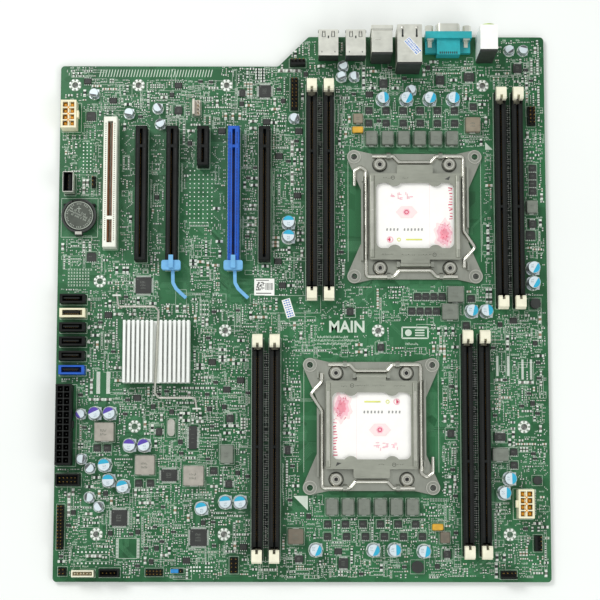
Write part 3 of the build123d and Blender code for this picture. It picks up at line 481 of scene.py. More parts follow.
def paint_cad():
    """Materials of all the CAD pieces."""
    for material, names in (
            (board_top, "circuit_board"),
            (black_plastic, "memory_sockets pcie_sockets_black main_power_connector"),
            (black_plastic, "sata_ports_black internal_usb_port"),
            (pci_white, "pci_socket"),
            (blue_plastic, "pcie_socket_blue sata_port_blue"),
            (retainer_blue, "card_retainer_1 card_retainer_2"),
            (charcoal, "cpu_socket_bodies battery_holder"),
            (card_white, "cpu_socket_cards"),
            (steel, "cpu_frame_1 cpu_frame_2"),
            (plate_steel, "cpu_load_plate_1 cpu_load_plate_2"),
            (bright_steel, "cpu_active_lever_1 cpu_active_lever_2 cpu_hinge_lever_1"),
            (bright_steel, "cpu_hinge_lever_2 cpu_frame_screws heatsink_clip"),
            (black_steel, "cpu_backplates"),
            (epoxy, "chipset power_transistors chip_packages"),
            (aluminium, "chipset_heatsink"),
            (tin, "heatsink_clip_staples"),
            (cell_metal, "coin_cell"),
            (shell_steel, "usb_stacks ps2_stack lan_stack serial_port_shell"),
            (teal, "serial_port_body"),
            (audio_white, "audio_stack"),
            (power_white, "cpu_power_connectors sata_port_white"),
            (jumper_blue, "jumper_cap"),
            (can_metal, "can_capacitors")):
        for node in names.split():
            paint(node, material)
    for node in frame["nodes"]:
        if node.startswith("memory_latch"):
            paint(node, cream)
        if node != "circuit_board":
            smooth(node)
    paint_islands("pin_headers", (black_plastic, cream, crystal), header_kind)
    paint_islands("chokes", (ferrite, ferrite_tan, ferrite_pale, ferrite_brown), choke_kind)
    paint_islands("small_components", (tantalum, bright_steel, charcoal), small_kind)
    # Partly painted shade: the inward faces of the rear connectors go charcoal, for their dark moulded backs and
    # for the shade on those faces.
    for node, depth in (("ps2_stack", 1.4), ("lan_stack", 1.4), ("audio_stack", 1.4), ("usb_stacks", 0.0)):
        paint_dark_back_and_shade(node, depth)


def paint_dark_back_and_shade(node, depth):
    """Darkens the faces within depth of a rear connector's front: partly its dark moulded back, partly painted
    shade on that side.
    """
    mesh = frame["nodes"][node].data
    mesh.materials.append(charcoal)
    front = box(node)[0][1]
    for polygon in mesh.polygons:
        if polygon.center.y / MM < front + depth + 0.05:
            polygon.material_index = 1
    mesh.update()


def header_kind(island):
    """1 for the cream header at the front left, 2 for the crystal can, 0 for black headers."""
    x, y, _ = island["mid"]
    if math.hypot(x + 141.6, y + 177) < 8:
        return 1
    return 2 if math.hypot(x + 66.3, y - 130) < 8 else 0


def choke_kind(island):
    """Which of the coil materials a coil has, by where it stands."""
    x, y, _ = island["mid"]
    if x < -60:
        return 2
    if (30 < x < 40 or x > 105) and y > 100:
        return 1
    return 3 if y < -145 else 0


def small_kind(island):
    """2 for the round coils, 0 for the yellow tantalums, 1 for the tall metal can."""
    size = island["size"]
    if abs(size[0] - size[1]) < 0.3:
        return 2
    return 0 if size[2] < 3.2 else 1


# ---------------------------------------------------------------- free room on the board

CELL = 0.4
PART_MARGIN = 0.35
SMALL_PARTS = 5200
SCATTER_TRIES = 60000
SMALL_TRANSISTORS = 110
TRANSISTOR_TRIES = 4000
TRACK_BUNDLES = 330
VIAS = 1500
VIA_TRIES = 9000
QUARTER = math.pi / 2


class Room:
    """A grid over the board that says where something already stands."""

    def __init__(self):
        self.nx = int((RIGHT - LEFT) / CELL) + 1
        self.ny = int((REAR - FRONT) / CELL) + 1
        self.used = np.zeros((self.nx, self.ny), bool)

    def cells(self, x0, y0, x1, y1):
        """The grid cells that a box touches."""
        i0, i1 = int((x0 - LEFT) / CELL), int((x1 - LEFT) / CELL) + 1
        j0, j1 = int((y0 - FRONT) / CELL), int((y1 - FRONT) / CELL) + 1
        return slice(max(i0, 0), max(i1, 0)), slice(max(j0, 0), max(j1, 0))

    def take(self, x0, y0, x1, y1):
        """Marks a box as filled."""
        self.used[self.cells(x0, y0, x1, y1)] = True

    def free(self, x0, y0, x1, y1):
        """Whether a box is on the board, away from its edge, and empty."""
        edge = 1.2
        if x0 < LEFT + edge or x1 > RIGHT - edge or y0 < FRONT + edge or y1 > REAR - edge:
            return False
        return not self.used[self.cells(x0, y0, x1, y1)].any()

    def take_round(self, x, y, half_x, half_y=None):
        """Marks the box that reaches half_x and half_y each way from a place; one value makes a square."""
        half_y = half_x if half_y is None else half_y
        self.take(x - half_x, y - half_y, x + half_x, y + half_y)

    def free_round(self, x, y, half_x, half_y=None):
        """Whether such a box is on the board and empty."""
        half_y = half_x if half_y is None else half_y
        return self.free(x - half_x, y - half_y, x + half_x, y + half_y)


def fixing_holes():
    """The places of the board's fixing holes, from the record's case screw mounts."""
    places = []
    for mount in record["mounts"]:
        if mount["name"].startswith("case_screws"):
            x, y, _ = (value / MM for value in mount["pos_m"])
            dx = mount["dims"].get("spacing_x_mm", 0) / 2
            dy = mount["dims"].get("spacing_y_mm", 0) / 2
            places += [(x - dx, y - dy), (x + dx, y + dy)]
    return places


def cpu_centres():
    """Each processor socket's centre, and +1 or -1 for which way its active lever's shaft lies."""
    found = []
    for mount in record["mounts"]:
        if mount["name"].startswith("cpu_cooler"):
            number = mount["name"][-1]
            lever = [j for j in frame["joints"] if j["name"] == f"cpu_active_lever_{number}_hinge"][0]
            way = 1 if lever["pos_m"][1] > mount["pos_m"][1] else -1
            found.append((number, mount["pos_m"][0] / MM, mount["pos_m"][1] / MM, way))
    return found


DRIVE_PORTS = ("sata_ports_black", "sata_port_white", "sata_port_blue")
LOW_NODES = ("circuit_board", "cpu_backplates", "cpu_socket_cards", "heatsink_clip", "jumper_cap")
all_islands = {node: islands(node) for node in frame["nodes"] if node != "circuit_board"}
CPUS = cpu_centres()
room = Room()


def solids(*nodes):
    """The separate solids of one or more CAD nodes."""
    return [solid for node in nodes for solid in all_islands[node]]


def row(count, pitch):
    """The offsets of evenly spaced places in a line, centred on nought."""
    return [(k - (count - 1) / 2) * pitch for k in range(count)]


def take_room():
    """Marks what the CAD pieces, the fixing holes and the air behind the stepped rear edge fill."""
    room.take(LEFT, STEP_Y, STEP_X, REAR)
    for k in range(22):
        room.take(STEP_X, STEP_Y + k, STEP_X + k + 1, REAR)
    for node, found in all_islands.items():
        if node in LOW_NODES or "lever" in node:
            continue
        for solid in found:
            margin = 1.2 if solid["size"][2] > 3 else 0.8
            low, high = solid["low"], solid["high"]
            room.take(low[0] - margin, low[1] - margin, high[0] + margin, high[1] + margin)
    for x, y in fixing_holes():
        room.take_round(x, y, 5.2)


def rear_step():
    """Where the shorter left part of the board's rear edge ends, from the board's own corners."""
    mesh = frame["nodes"]["circuit_board"].data
    points = np.array([v.co for v in mesh.vertices]) / MM
    left = points[points[:, 0] < LEFT + 0.1]
    step_y = left[:, 1].max() + 2.5
    near = points[(abs(points[:, 1] - step_y) < 0.2) & (points[:, 0] < CENTRE_X + 30)]
    return near[:, 0].max() - 1.5, step_y


STEP_X, STEP_Y = rear_step()
paint_cad()
take_room()


# ---------------------------------------------------------------- printed legend, pads and vias

LEGEND = 0.02
legend = Batch("legend", slot="board_green")
pads = Batch("pads_and_vias", slot="can_aluminium")


def inside_board(x, y):
    """Whether a place is on the board and clear of its stepped rear edge."""
    slant = STEP_Y + max(0.0, x - STEP_X) * 0.9
    edge = min(REAR, slant if x > STEP_X else STEP_Y)
    return LEFT < x < RIGHT and FRONT < y < edge


def legend_line(a, b, width):
    """A straight printed line between two places on the board."""
    legend.bar(a, b, width, TOP, LEGEND, silk)


def outline_box(low, high, gap, width):
    """A printed frame round a part, left out where it would hang over the board's edge."""
    x0, y0, x1, y1 = low[0] - gap, low[1] - gap, high[0] + gap, high[1] + gap
    if inside_board(x0, y0) and inside_board(x0, y1) and inside_board(x1, y1):
        legend_line((x0, y0), (x1, y0), width)
        legend_line((x0, y1), (x1, y1), width)
        legend_line((x0, y0), (x0, y1), width)
        legend_line((x1, y0), (x1, y1), width)


def ticks(batch, x, y, count, size, along_y=False, z=TOP, material=silk):
    """A row of short strokes of uneven height, where the real board has a part's label."""

    def stroke(along, across, run, rise, width):
        """One stroke, measured along and across the row."""
        a, b = (along, across), (along + run, across + rise)
        if along_y:
            a, b = a[::-1], b[::-1]
        batch.bar((x + a[0], y + a[1]), (x + b[0], y + b[1]), width, z, LEGEND, material)

    for k in range(count):
        step = k * size * 0.62
        stroke(step, 0.0, 0.0, size * rng.choice((0.55, 0.8, 1.0)), size * 0.24)
        if rng.random() < 0.5:
            stroke(step, size * rng.choice((0.0, 0.45, 0.8)), size * 0.4, 0.0, size * 0.2)


def on_board(x, y):
    """A place given in millimetres from the board's middle."""
    return CENTRE_X + x, CENTRE_Y + y


def hole_rings():
    """Plated rings round the fixing holes, each with eight raised solder spots."""
    for x, y in fixing_holes():
        for z in (TOP, UNDER - 0.04):
            pads.ring(x, y, z, 2.05, 2.6, 0.04, tin, 40)
            pads.ring(x, y, z, 2.6, 4.2, 0.03, pad_grey, 40)
        for k in range(8):
            angle = 2 * math.pi * (k + 0.5) / 8
            spot_x, spot_y = x + 3.3 * math.cos(angle), y + 3.3 * math.sin(angle)
            pads.disc(spot_x, spot_y, TOP + 0.03, 0.82, 0.06, solder, 14, dome=0.16)


def part_outlines():
    """Printed frames, rings and label ticks round the parts."""
    for node in ("chip_packages", "chokes", "power_transistors", "pin_headers", "small_components"):
        for solid in all_islands[node]:
            gap = 1.35 if node == "chip_packages" else 0.6
            outline_box(solid["low"], solid["high"], gap, 0.2)
            low, high = solid["low"], solid["high"]
            if rng.random() < 0.8:
                size = 1.1
                count = rng.randint(3, 5)
                x, y = low[0], high[1] + gap + 0.4
                if room.free(x, y, x + count * size * 0.62, y + size):
                    ticks(legend, x, y, count, size)
    for solid in all_islands["can_capacitors"]:
        x, y, _ = solid["mid"]
        radius = solid["size"][0] / 2
        inner, reach = radius + 0.5, radius + 0.9
        legend.ring(x, y, TOP, inner, radius + 0.75, LEGEND, silk, 32)
        hatch = rng.choice((1, -1))
        points = [(inner * math.cos(a), hatch * inner * math.sin(a)) for a in np.linspace(0, math.pi, 13)]
        if hatch < 0:
            points.reverse()
        legend.prism(points, TOP, LEGEND, silk, x, y)
        room.take_round(x, y, reach)
    for solid in solids("memory_sockets", "pcie_sockets_black", "pcie_socket_blue", "pci_socket"):
        outline_box(solid["low"], solid["high"], 0.5, 0.22)
    for solid in solids("main_power_connector", "cpu_power_connectors", *DRIVE_PORTS,
                        "internal_usb_port", "battery_holder"):
        outline_box(solid["low"], solid["high"], 0.6, 0.25)


def hatching():
    """Slanted strokes along the rear edge's left part, and marks beside the processor sockets."""
    y = STEP_Y - 2.6
    for k in range(40):
        x = LEFT + 26 + k * 1.9
        if room.free(x - 0.3, y - 5, x + 1.2, y - 0.5):
            legend_line((x - 0.3, y - 5.0), (x + 0.9, y), 0.5)
    room.take(LEFT + 23.9, STEP_Y - 9, LEFT + 106.1, STEP_Y)
    corners = {"1": ((47.3, 50.4), (47.3, 45.3), (52.3, 45.3)),
               "2": ((-50.8, -45.2), (-41.3, -54.7), (-41.3, -45.2))}
    for number, x, y, _ in CPUS:
        triangle = [(x + a, y + b) for a, b in corners[number]]
        legend.prism(triangle, TOP, 3 * LEGEND, silk)
        low, high = [min(c) for c in zip(*triangle)], [max(c) for c in zip(*triangle)]
        room.take(*low, *high)
        for side_x in (x + 44, x - 44):
            legend_line((side_x, y - 30), (side_x, y + 38), 0.22)


def lettering():
    """One plain word, rows of tick marks and a plain outlined badge between the sockets."""
    curve = bpy.data.curves.new("board_word", "FONT")
    curve.body = "MAIN"
    curve.size = 10.6 * MM
    curve.align_x, curve.align_y = "CENTER", "CENTER"
    curve.extrude = 0.02 * MM
    curve.offset = 0.28 * MM
    word = bpy.data.objects.new("board_word", curve)
    bpy.context.scene.collection.objects.link(word)
    bpy.context.view_layer.update()
    mesh = bpy.data.meshes.new_from_object(word)
    bpy.data.objects.remove(word)
    x, y = on_board(29.2, -14.9)
    mesh.transform(Matrix.Translation((x * MM, y * MM, (TOP + 0.03) * MM)) @ Matrix.Diagonal((0.92, 1, 1, 1)))
    mesh.materials.clear()
    mesh.materials.append(silk)
    piece = bpy.data.objects.new("board_word", mesh)
    bpy.context.scene.collection.objects.link(piece)
    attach(piece, "root")
    room.take_round(x, y, 14, 5)
    for line, (start, count) in enumerate(((10.0, 22), (6.0, 34), (10.0, 24))):
        place = on_board(start, -22.0 - 2.2 * line)
        ticks(legend, *place, count, 1.5)
        room.take(*place, place[0] + count, place[1] + 2)
    ticks(legend, *on_board(-8.0, -14.0), 9, 1.5)
    x, y = on_board(74.0, -18.5)
    outline_box((x - 8.5, y - 3.6), (x + 8.5, y + 3.6), 0.0, 0.9)
    legend.disc(x - 4.4, y, TOP, 2.2, LEGEND, silk, 24)
    for k in range(3):
        level = y + 1.7 - 1.7 * k
        legend_line((x, level), (x + 6.2, level), 0.8)
    ticks(legend, *on_board(68.0, -26.5), 9, 1.5)
    room.take(x - 15, y - 9, x + 9, y + 7)


PAD_ROWS = (
    # x and y of the middle, then the pads' length and the row's length, in millimetres
    (-133.5, -51.6, 2.4, 14.6), (-127.0, -51.6, 2.4, 14.6), (127.8, -40.3, 1.5, 13.6),
    (134.9, -40.3, 1.5, 13.6), (144.3, -42.6, 1.5, 13.6), (149.9, -42.6, 1.5, 13.6),
)
PAD_GRIDS = (
    # x and y of the middle, columns, rows, pitch across and along, and the pads' radius
    (-136.0, -165.0, 8, 2, 2.6, 7.2, 0.6), (-65.25, -172.25, 8, 2, 1.9, 2.4, 0.62),
    (-143.0, 98.0, 3, 9, 2.4, 2.4, 0.45), (-67.25, 72.0, 6, 13, 2.9, 2.9, 0.4),
    (-7.0, -38.0, 4, 3, 2.4, 2.4, 0.35),
)


def footprints():
    """Empty places: pad rows, pad grids, a two-row package, a grid of crosses and an empty frame."""
    for x, y, wide, tall in PAD_ROWS:
        cx, cy = on_board(x, y)
        for off in row(int(tall / 0.66), 0.66):
            pads.block(cx, cy + off, TOP, wide, 0.5, 0.03, tin, 0.0, 0.0)
        room.take_round(cx, cy, wide, tall / 2)
    for x, y, columns, rows, pitch_x, pitch_y, radius in PAD_GRIDS:
        cx, cy = on_board(x, y)
        for px in [cx + off for off in row(columns, pitch_x)]:
            for py in [cy + off for off in row(rows, pitch_y)]:
                if room.free_round(px, py, 0.6):
                    pads.disc(px, py, TOP, radius, 0.03, solder, 12, dome=0.05)
                    room.take_round(px, py, 1.0)
    low, high = on_board(-119.0, -165.5), on_board(-107.0, -152.5)
    outline_box(low, high, 0.0, 0.25)
    for px in (high[0] + 0.9, low[0] - 0.9):
        for k in range(14):
            pads.block(px, low[1] + (k + 0.5) * 0.93, TOP, 1.5, 0.5, 0.03, tin, 0.0, 0.0)
    room.take(low[0] - 1.8, low[1], high[0] + 1.8, high[1])
    for i in range(9):
        for j in range(6):
            a, b = on_board(-154.4 + 1.85 * i, 12.0 + 2.1 * j)
            if room.free(a, b, a + 1.0, b + 1.2):
                legend_line((a, b), (a + 0.9, b + 1.2), 0.3)
                legend_line((a, b + 1.2), (a + 0.9, b), 0.3)
    room.take(*on_board(-156.0, 11.0), *on_board(-137.0, 25.0))
    outline_box(on_board(-25.0, -5.5), on_board(12.0, 6.0), 0.0, 0.22)
    for node, reach in (("pcie_sockets_black", 5.6), ("pcie_socket_blue", 5.6), ("memory_sockets", 4.9)):
        for solid in all_islands[node]:
            x, y, _ = solid["mid"]
            count = 26 if solid["size"][1] > 40 else 8
            for side in (1, -1):
                start = y + rng.uniform(-30, 15)
                place = x + side * reach
                if room.free(place, start, place + 0.9, start + 4):
                    ticks(legend, place, start, count, 1.2, along_y=True)
                    room.take(place, start, place + 1.2, start + count * 0.8)


def tracks():
    """Bundles of parallel tracks with two bends of 45 degrees, a little paler than the mask."""
    bundle = Batch("tracks", slot="board_green")
    track_material = plastic("track", (66, 128, 86), 0.4, spread=0.1, bump=0.02)
    height = 0.012
    for _ in range(TRACK_BUNDLES):
        x = rng.uniform(LEFT + 8, RIGHT - 8)
        y = rng.uniform(FRONT + 8, REAR - 26)
        count = rng.randint(3, 11)
        pitch = rng.choice((0.5, 0.6, 0.75))
        run, rise = rng.uniform(5, 22), rng.uniform(3, 14)
        last = rng.uniform(4, 20)
        flip = rng.choice((1, -1))
        upright = rng.random() < 0.5
        way = rng.choice((1, -1))
        for k in range(count):
            shift = k * pitch
            p0 = (0.0, shift)
            p1 = (run - flip * shift * 0.414, shift)
            p2 = (p1[0] + rise, shift + flip * rise)
            p3 = (p2[0] + last, p2[1])
            line = [p0, p1, p2, p3]
            if upright:
                line = [(b, a) for a, b in line]
            line = [(x + way * a, y + way * b) for a, b in line]
            if all(LEFT + 3 < a < RIGHT - 3 and FRONT + 3 < b < REAR - 24 for a, b in line):
                for a, b in zip(line, line[1:]):
                    bundle.bar(a, b, 0.2, TOP, height, track_material)
    bundle.make()


def vias():
    """Plated through holes, in short rows and alone."""
    placed = 0
    for _ in range(VIA_TRIES):
        if placed > VIAS:
            break
        x, y = rng.uniform(LEFT + 3, RIGHT - 3), rng.uniform(FRONT + 3, REAR - 3)
        n = rng.choice((1, 1, 2, 3, 4, 6))
        dx, dy = rng.choice(((1.1, 0), (0, 1.1), (0.9, 0.9), (0.9, -0.9)))
        for k in range(n):
            a, b = x + k * dx, y + k * dy
            r = 0.32
            if room.free_round(a, b, r):
                pads.disc(a, b, TOP, r, 0.02, tin, 8)
                # Painted shade: a dark disc in the middle of the via for its hole.
                pads.disc(a, b, TOP + 0.02, r * 0.45, 0.01, dark_mark_and_hole_shade, 6)
                placed += 1


# ---------------------------------------------------------------- surface-mounted parts

parts_small = Batch("surface_parts", slot="chip_black")
SMALL_SIZES = ((1.0, 0.5, 0.35), (1.0, 0.5, 0.5), (1.6, 0.8, 0.45), (1.6, 0.8, 0.8), (2.0, 1.25, 0.9),
               (3.2, 1.6, 1.2))


def small_part(x, y, z, size, turn, body):
    """A chip resistor or capacitor: body, two plated ends and their pads."""
    length, width, height = size
    c, s = math.cos(turn), math.sin(turn)
    down = z < TOP - 1
    base = z - height if down else z
    for side in (1, -1):
        off = side * length * 0.39
        a, b = x + c * off, y + s * off
        parts_small.block(a, b, base, length * 0.24, width * 1.02, height * 1.02, solder, turn)
        pad_off = side * length * 0.55
        pad_z = z - 0.02 if down else z
        pads.block(x + c * pad_off, y + s * pad_off, pad_z, length * 0.42, width * 1.15, 0.03, tin,
                   turn, 0.02)
    parts_small.block(x, y, base, length * 0.6, width * 0.98, height * 0.96, body, turn)


ZONES = (
    # x0, y0, x1, y1 in millimetres from the board's middle, and how crowded it is there
    (-10, -30, 66, 10, 0.08), (66, -30, 122, -8, 0.2), (-134, 38, -60, 116, 0.07),
    (-60, 20, -50, 116, 0.05), (-50, 20, -38, 116, 0.2), (-60, 112, -30, 126, 0.2),
    (-150, 126, -60, 160, 1.0), (-46, 20, 0, 160, 1.0), (20, 98, 110, 160, 1.0),
    (138, 20, 161, 178, 1.0), (-161, -180, -40, -50, 1.0), (120, -80, 161, -4, 1.0),
    (120, -180, 161, -80, 0.35), (-10, -180, 100, -128, 0.75), (-60, -60, -34, -10, 0.7),
    (-150, -60, -40, 26, 0.4), (-161, 26, -130, 118, 0.45), (-34, -50, -8, 12, 0.3),
    (-161, -180, 161, 180, 0.5),
)


def density(x, y):
    """How crowded the board is at a place; the strips round the processor sockets are kept clear."""
    for _, cx, cy, _ in CPUS:
        if abs(x - cx) < 43 and abs(y - cy) < 44:
            return 0.0
    a, b = x - CENTRE_X, y - CENTRE_Y
    wave = math.sin(0.21 * a + 1.3) * math.sin(0.17 * b + 0.4)
    wave += 0.55 * math.sin(0.43 * a + 0.31 * b) * math.cos(0.09 * a - 0.24 * b)
    crowd = 1.0 if wave > 0.0 else (0.3 if wave > -0.3 else 0.08)
    for x0, y0, x1, y1, share in ZONES:
        if x0 < a < x1 and y0 < b < y1:
            return share * crowd
    return 0.0


def one_part(x, y, size, upright, body):
    """Places one small part if its place is free, and says whether it did."""
    half_x = (size[1] if upright else size[0]) / 2 + PART_MARGIN
    half_y = (size[0] if upright else size[1]) / 2 + PART_MARGIN
    if not room.free_round(x, y, half_x, half_y):
        return False
    small_part(x, y, TOP, size, QUARTER if upright else 0.0, body)
    room.take_round(x, y, half_x, half_y)
    return True


def scatter(target, tries):
    """Rows and blocks of small parts, with printed frames and tick marks, wherever the board has room."""
    placed = 0
    kinds = (resistor_body, tan_body, grey_body, grey_body, resistor_body, resistor_body)
    for _ in range(tries):
        if placed >= target:
            break
        x, y = rng.uniform(LEFT + 3, RIGHT - 3), rng.uniform(FRONT + 3, REAR - 3)
        share = density(x, y)
        if rng.random() > share:
            continue
        size = SMALL_SIZES[min(int(rng.random() ** 1.7 * len(SMALL_SIZES)), len(SMALL_SIZES) - 1)]
        body = rng.choice(kinds)
        upright = rng.random() < 0.5
        columns, rows = rng.choice(((1, 1), (1, 2), (1, 3), (1, 5), (2, 3), (2, 4), (1, 8), (3, 3), (2, 6)))
        if rng.random() < 0.5:
            columns, rows = rows, columns
        step_x = (size[1] if upright else size[0] * 1.35) + 0.75
        step_y = (size[0] * 1.35 if upright else size[1]) + 0.75
        before = placed
        for i in range(columns):
            for j in range(rows):
                if rng.random() > 0.07:
                    placed += one_part(x + i * step_x, y + j * step_y, size, upright, body)
        if placed - before > 1 and rng.random() < 0.4:
            low = (x - step_x / 2, y - step_y / 2)
            high = (x + (columns - 0.5) * step_x, y + (rows - 0.5) * step_y)
            outline_box(low, high, 0.0, 0.17)
        if rng.random() < 0.75:
            count, letter = rng.randint(3, 7), rng.choice((0.9, 1.1, 1.3))
            tag_x, tag_y = x - step_x / 2, y + (rows - 0.5) * step_y + 0.2
            if room.free(tag_x, tag_y, tag_x + count * letter * 0.62, tag_y + letter):
                ticks(legend, tag_x, tag_y, count, letter)
                room.take(tag_x, tag_y, tag_x + count * letter * 0.62, tag_y + letter)


def filling(tries):
    """Bare pads, single parts and tick marks in the gaps that the rows left."""
    for _ in range(tries):
        x, y = rng.uniform(LEFT + 3, RIGHT - 3), rng.uniform(FRONT + 3, REAR - 3)
        if rng.random() > density(x, y):
            continue
        half = 0.55
        if not room.free_round(x, y, half):
            continue
        pick = rng.random()
        if pick < 0.35:
            pads.block(x, y, TOP, 0.7, 0.6, 0.03, solder, rng.choice((0.0, QUARTER)), 0.0)
        elif pick < 0.7:
            ticks(legend, x - half, y - half, 3, 0.95, along_y=rng.random() < 0.5)
        else:
            small_part(x, y, TOP, (1.0, 0.5, 0.35), rng.choice((0.0, QUARTER)),
                       rng.choice((resistor_body, grey_body)))
        room.take_round(x, y, half)


def between_sockets():
    """The strip of small capacitors between the two memory sockets of each bank, on a dark band of painted shade.
    """
    lanes = sorted((solid["mid"][0], solid["mid"][1]) for solid in all_islands["memory_sockets"])
    for (x0, y0), (x1, y1) in zip(lanes, lanes[1:]):
        if abs(x1 - x0 - 11.2) < 0.5 and abs(y0 - y1) < 1:
            middle = (x0 + x1) / 2
            for k in range(86):
                y = y0 + (k - 42.5) * 1.5
                for side in (-0.75, 0.75):
                    if rng.random() < 0.75:
                        small_part(middle + side, y, TOP, (1.0, 0.5, 0.5), 0.0, resistor_body)
            # Painted shade: a dark green band on the board between the two sockets.
            legend.bar((middle, y0 - 62), (middle, y0 + 62), 3.0, TOP - 0.005, 0.01, painted_shade_green)


def small_transistors(target):
    """Small packages with three or four legs on each side, scattered among the chip parts."""
    placed = 0
    for _ in range(TRANSISTOR_TRIES):
        if placed >= target:
            break
        x, y = rng.uniform(LEFT + 4, RIGHT - 4), rng.uniform(FRONT + 4, REAR - 4)
        wide, deep = rng.choice(((2.9, 1.4), (3.0, 1.7), (4.9, 3.9), (3.0, 3.0)))
        half_x, half_y = wide / 2, deep / 2 + 0.8
        if rng.random() > density(x, y) or not room.free_round(x, y, half_x, half_y):
            continue
        parts_small.block(x, y, TOP + 0.1, wide, deep, 1.0, epoxy)
        legs = 3 if wide < 4 else 4
        for side in (1, -1):
            for k in range(legs):
                leg_x = x + (k - (legs - 1) / 2) * (wide / legs)
                parts_small.block(leg_x, y + side * (deep / 2 + 0.3), TOP, 0.4, 0.9, 0.25, solder)
        parts_small.disc(x - wide * 0.32, y - deep * 0.28, TOP + 1.1, 0.18, 0.01, epoxy_mark, 8)
        room.take_round(x, y, half_x, half_y)
        placed += 1


# ---------------------------------------------------------------- chips, transistors, coils and cans

def chip_details():
    """Leads, pin-one dots and printed lines on the chips, transistors and coils."""
    details = Batch("chip_details", slot="can_aluminium")
    for solid in all_islands["chip_packages"]:
        x, y, _ = solid["mid"]
        wide, deep, _ = solid["size"]
        top = solid["high"][2]
        sides, pitch = ((0, 1), (0, -1)), 0.9
        if min(wide, deep) > 7.2:
            sides, pitch = ((1, 0), (-1, 0), (0, 1), (0, -1)), 0.5
        elif deep > wide * 1.05:
            sides = ((1, 0), (-1, 0))
        for sx, sy in sides:
            span = deep if sx else wide
            count = int((span - 0.8) / pitch)
            for k in range(count):
                off = (k - (count - 1) / 2) * pitch
                if sx:
                    place, size = (x + sx * (wide / 2 + 0.5), y + off), (1.1, pitch * 0.55)
                else:
                    place, size = (x + off, y + sy * (deep / 2 + 0.5)), (pitch * 0.55, 1.1)
                details.block(place[0], place[1], TOP, size[0], size[1], 0.2, solder)
        details.disc(x - wide * 0.36, y + deep * 0.36, top, 0.35, 0.01, epoxy_mark, 12)
        for line in range(3):
            count = rng.randint(4, 7)
            size = wide * 0.55 / count
            ticks(details, x - count * size * 0.31, y + (0.7 - line) * deep * 0.17, count, size, z=top,
                  material=epoxy_mark)
    for solid in all_islands["power_transistors"]:
        x, y, _ = solid["mid"]
        wide, deep, _ = solid["size"]
        for k in range(4):
            leg_x = x + (k - 1.5) * wide * 0.25
            details.block(leg_x, solid["low"][1] - 0.35, TOP, 0.5, 0.9, 0.3, solder)
        ticks(details, x - wide * 0.3, y - 0.3, 5, 0.75, z=solid["high"][2], material=epoxy_mark)
    for solid in all_islands["chokes"]:
        x, y, _ = solid["mid"]
        wide, deep, _ = solid["size"]
        for side in (1, -1):
            details.block(x, y + side * deep / 2, TOP, wide * 0.4, 0.5, 0.4, solder)
        for k in range(2):
            size = wide * 0.11
            ticks(details, x - 1.6 * size, y + (0.1 - k) * deep * 0.2, 5, size, z=solid["high"][2],
                  material=coil_mark)
    details.make()


def can_tops():
    """The coloured part of each can's top, the rolled rim and the foot's terminals."""
    tops = Batch("can_tops", slot="can_aluminium")
    feet = Batch("can_feet", slot="socket_black")
    for solid in all_islands["can_capacitors"]:
        x, y, _ = solid["mid"]
        large = solid["size"][2] > 7
        radius = solid["size"][0] / 2 - 0.15
        top = solid["high"][2] - 0.01
        flat = radius - 0.35
        violet = x < CENTRE_X - 100 and CENTRE_Y - 100 < y < CENTRE_Y - 60
        mark = violet_mark if violet else (cyan_mark if large else dark_mark_and_hole_shade)
        turn = math.radians(rng.uniform(85, 120)) if x < CENTRE_X else math.radians(rng.uniform(-30, 5))
        if not large:
            turn = rng.uniform(0, 2 * math.pi)
        tops.disc(x, y, top, flat, 0.015, can_top, 32)
        reach = math.radians(78 if large else 66)
        arc = [(flat * math.cos(a), flat * math.sin(a)) for a in np.linspace(-reach, reach, 18)]
        tops.prism(arc, top + 0.015, 0.015, mark, x, y, turn)
        if large:
            for k in range(2):
                size = flat * 0.3
                row_x, row_y = x - 1.5 * size * math.cos(turn), y - 1.5 * size * math.sin(turn)
                ticks(tops, row_x - 0.6 * size, row_y + (k - 0.8) * size * 1.3, 3, size,
                      z=top + 0.015, material=can_ink)
        feet.ring(x, y, TOP + 1.0, radius - 0.2, radius + 0.12, 0.5, charcoal, 32)
        tops.ring(x, y, TOP + 2.0, radius - 0.1, radius + 0.03, 0.25, can_metal, 32)
        for side in (1, -1):
            feet.block(x, y + side * (radius + 0.2), TOP, 1.0, 1.2, 0.25, solder)
    tops.make()
    feet.make()


# ---------------------------------------------------------------- sockets

def memory_details():
    """Contacts of the memory sockets, black films over their contact windows as painted shade, and ribs on their
    sides.
    """
    contacts = Batch("memory_contacts", slot="socket_black")
    ribs = Batch("memory_ribs", slot="socket_black")
    body_top = TOP + 9.2
    for solid in solids("memory_sockets"):
        x, y, _ = solid["mid"]
        span = solid["size"][1] - 24
        for batch, count, reach, z, size, material, edge in (
                (contacts, 120, 0.66, body_top - 5, (0.2, 0.4, 0.9), gold, 0.12),
                (ribs, 44, 3.52, TOP, (0.26, 1.0, 7.6), black_plastic, 0.12),
                # Painted shade: flat black films over the contact windows.
                (ribs, 100, 1.7, body_top - 0.01, (0.9, 0.62, 0.02), recess_shade_black, 0.0)):
            for off in row(count, span / count):
                for side in (1, -1):
                    batch.block(x + side * reach, y + off, z, *size, material, 0.0, edge)
    contacts.make()
    ribs.make()


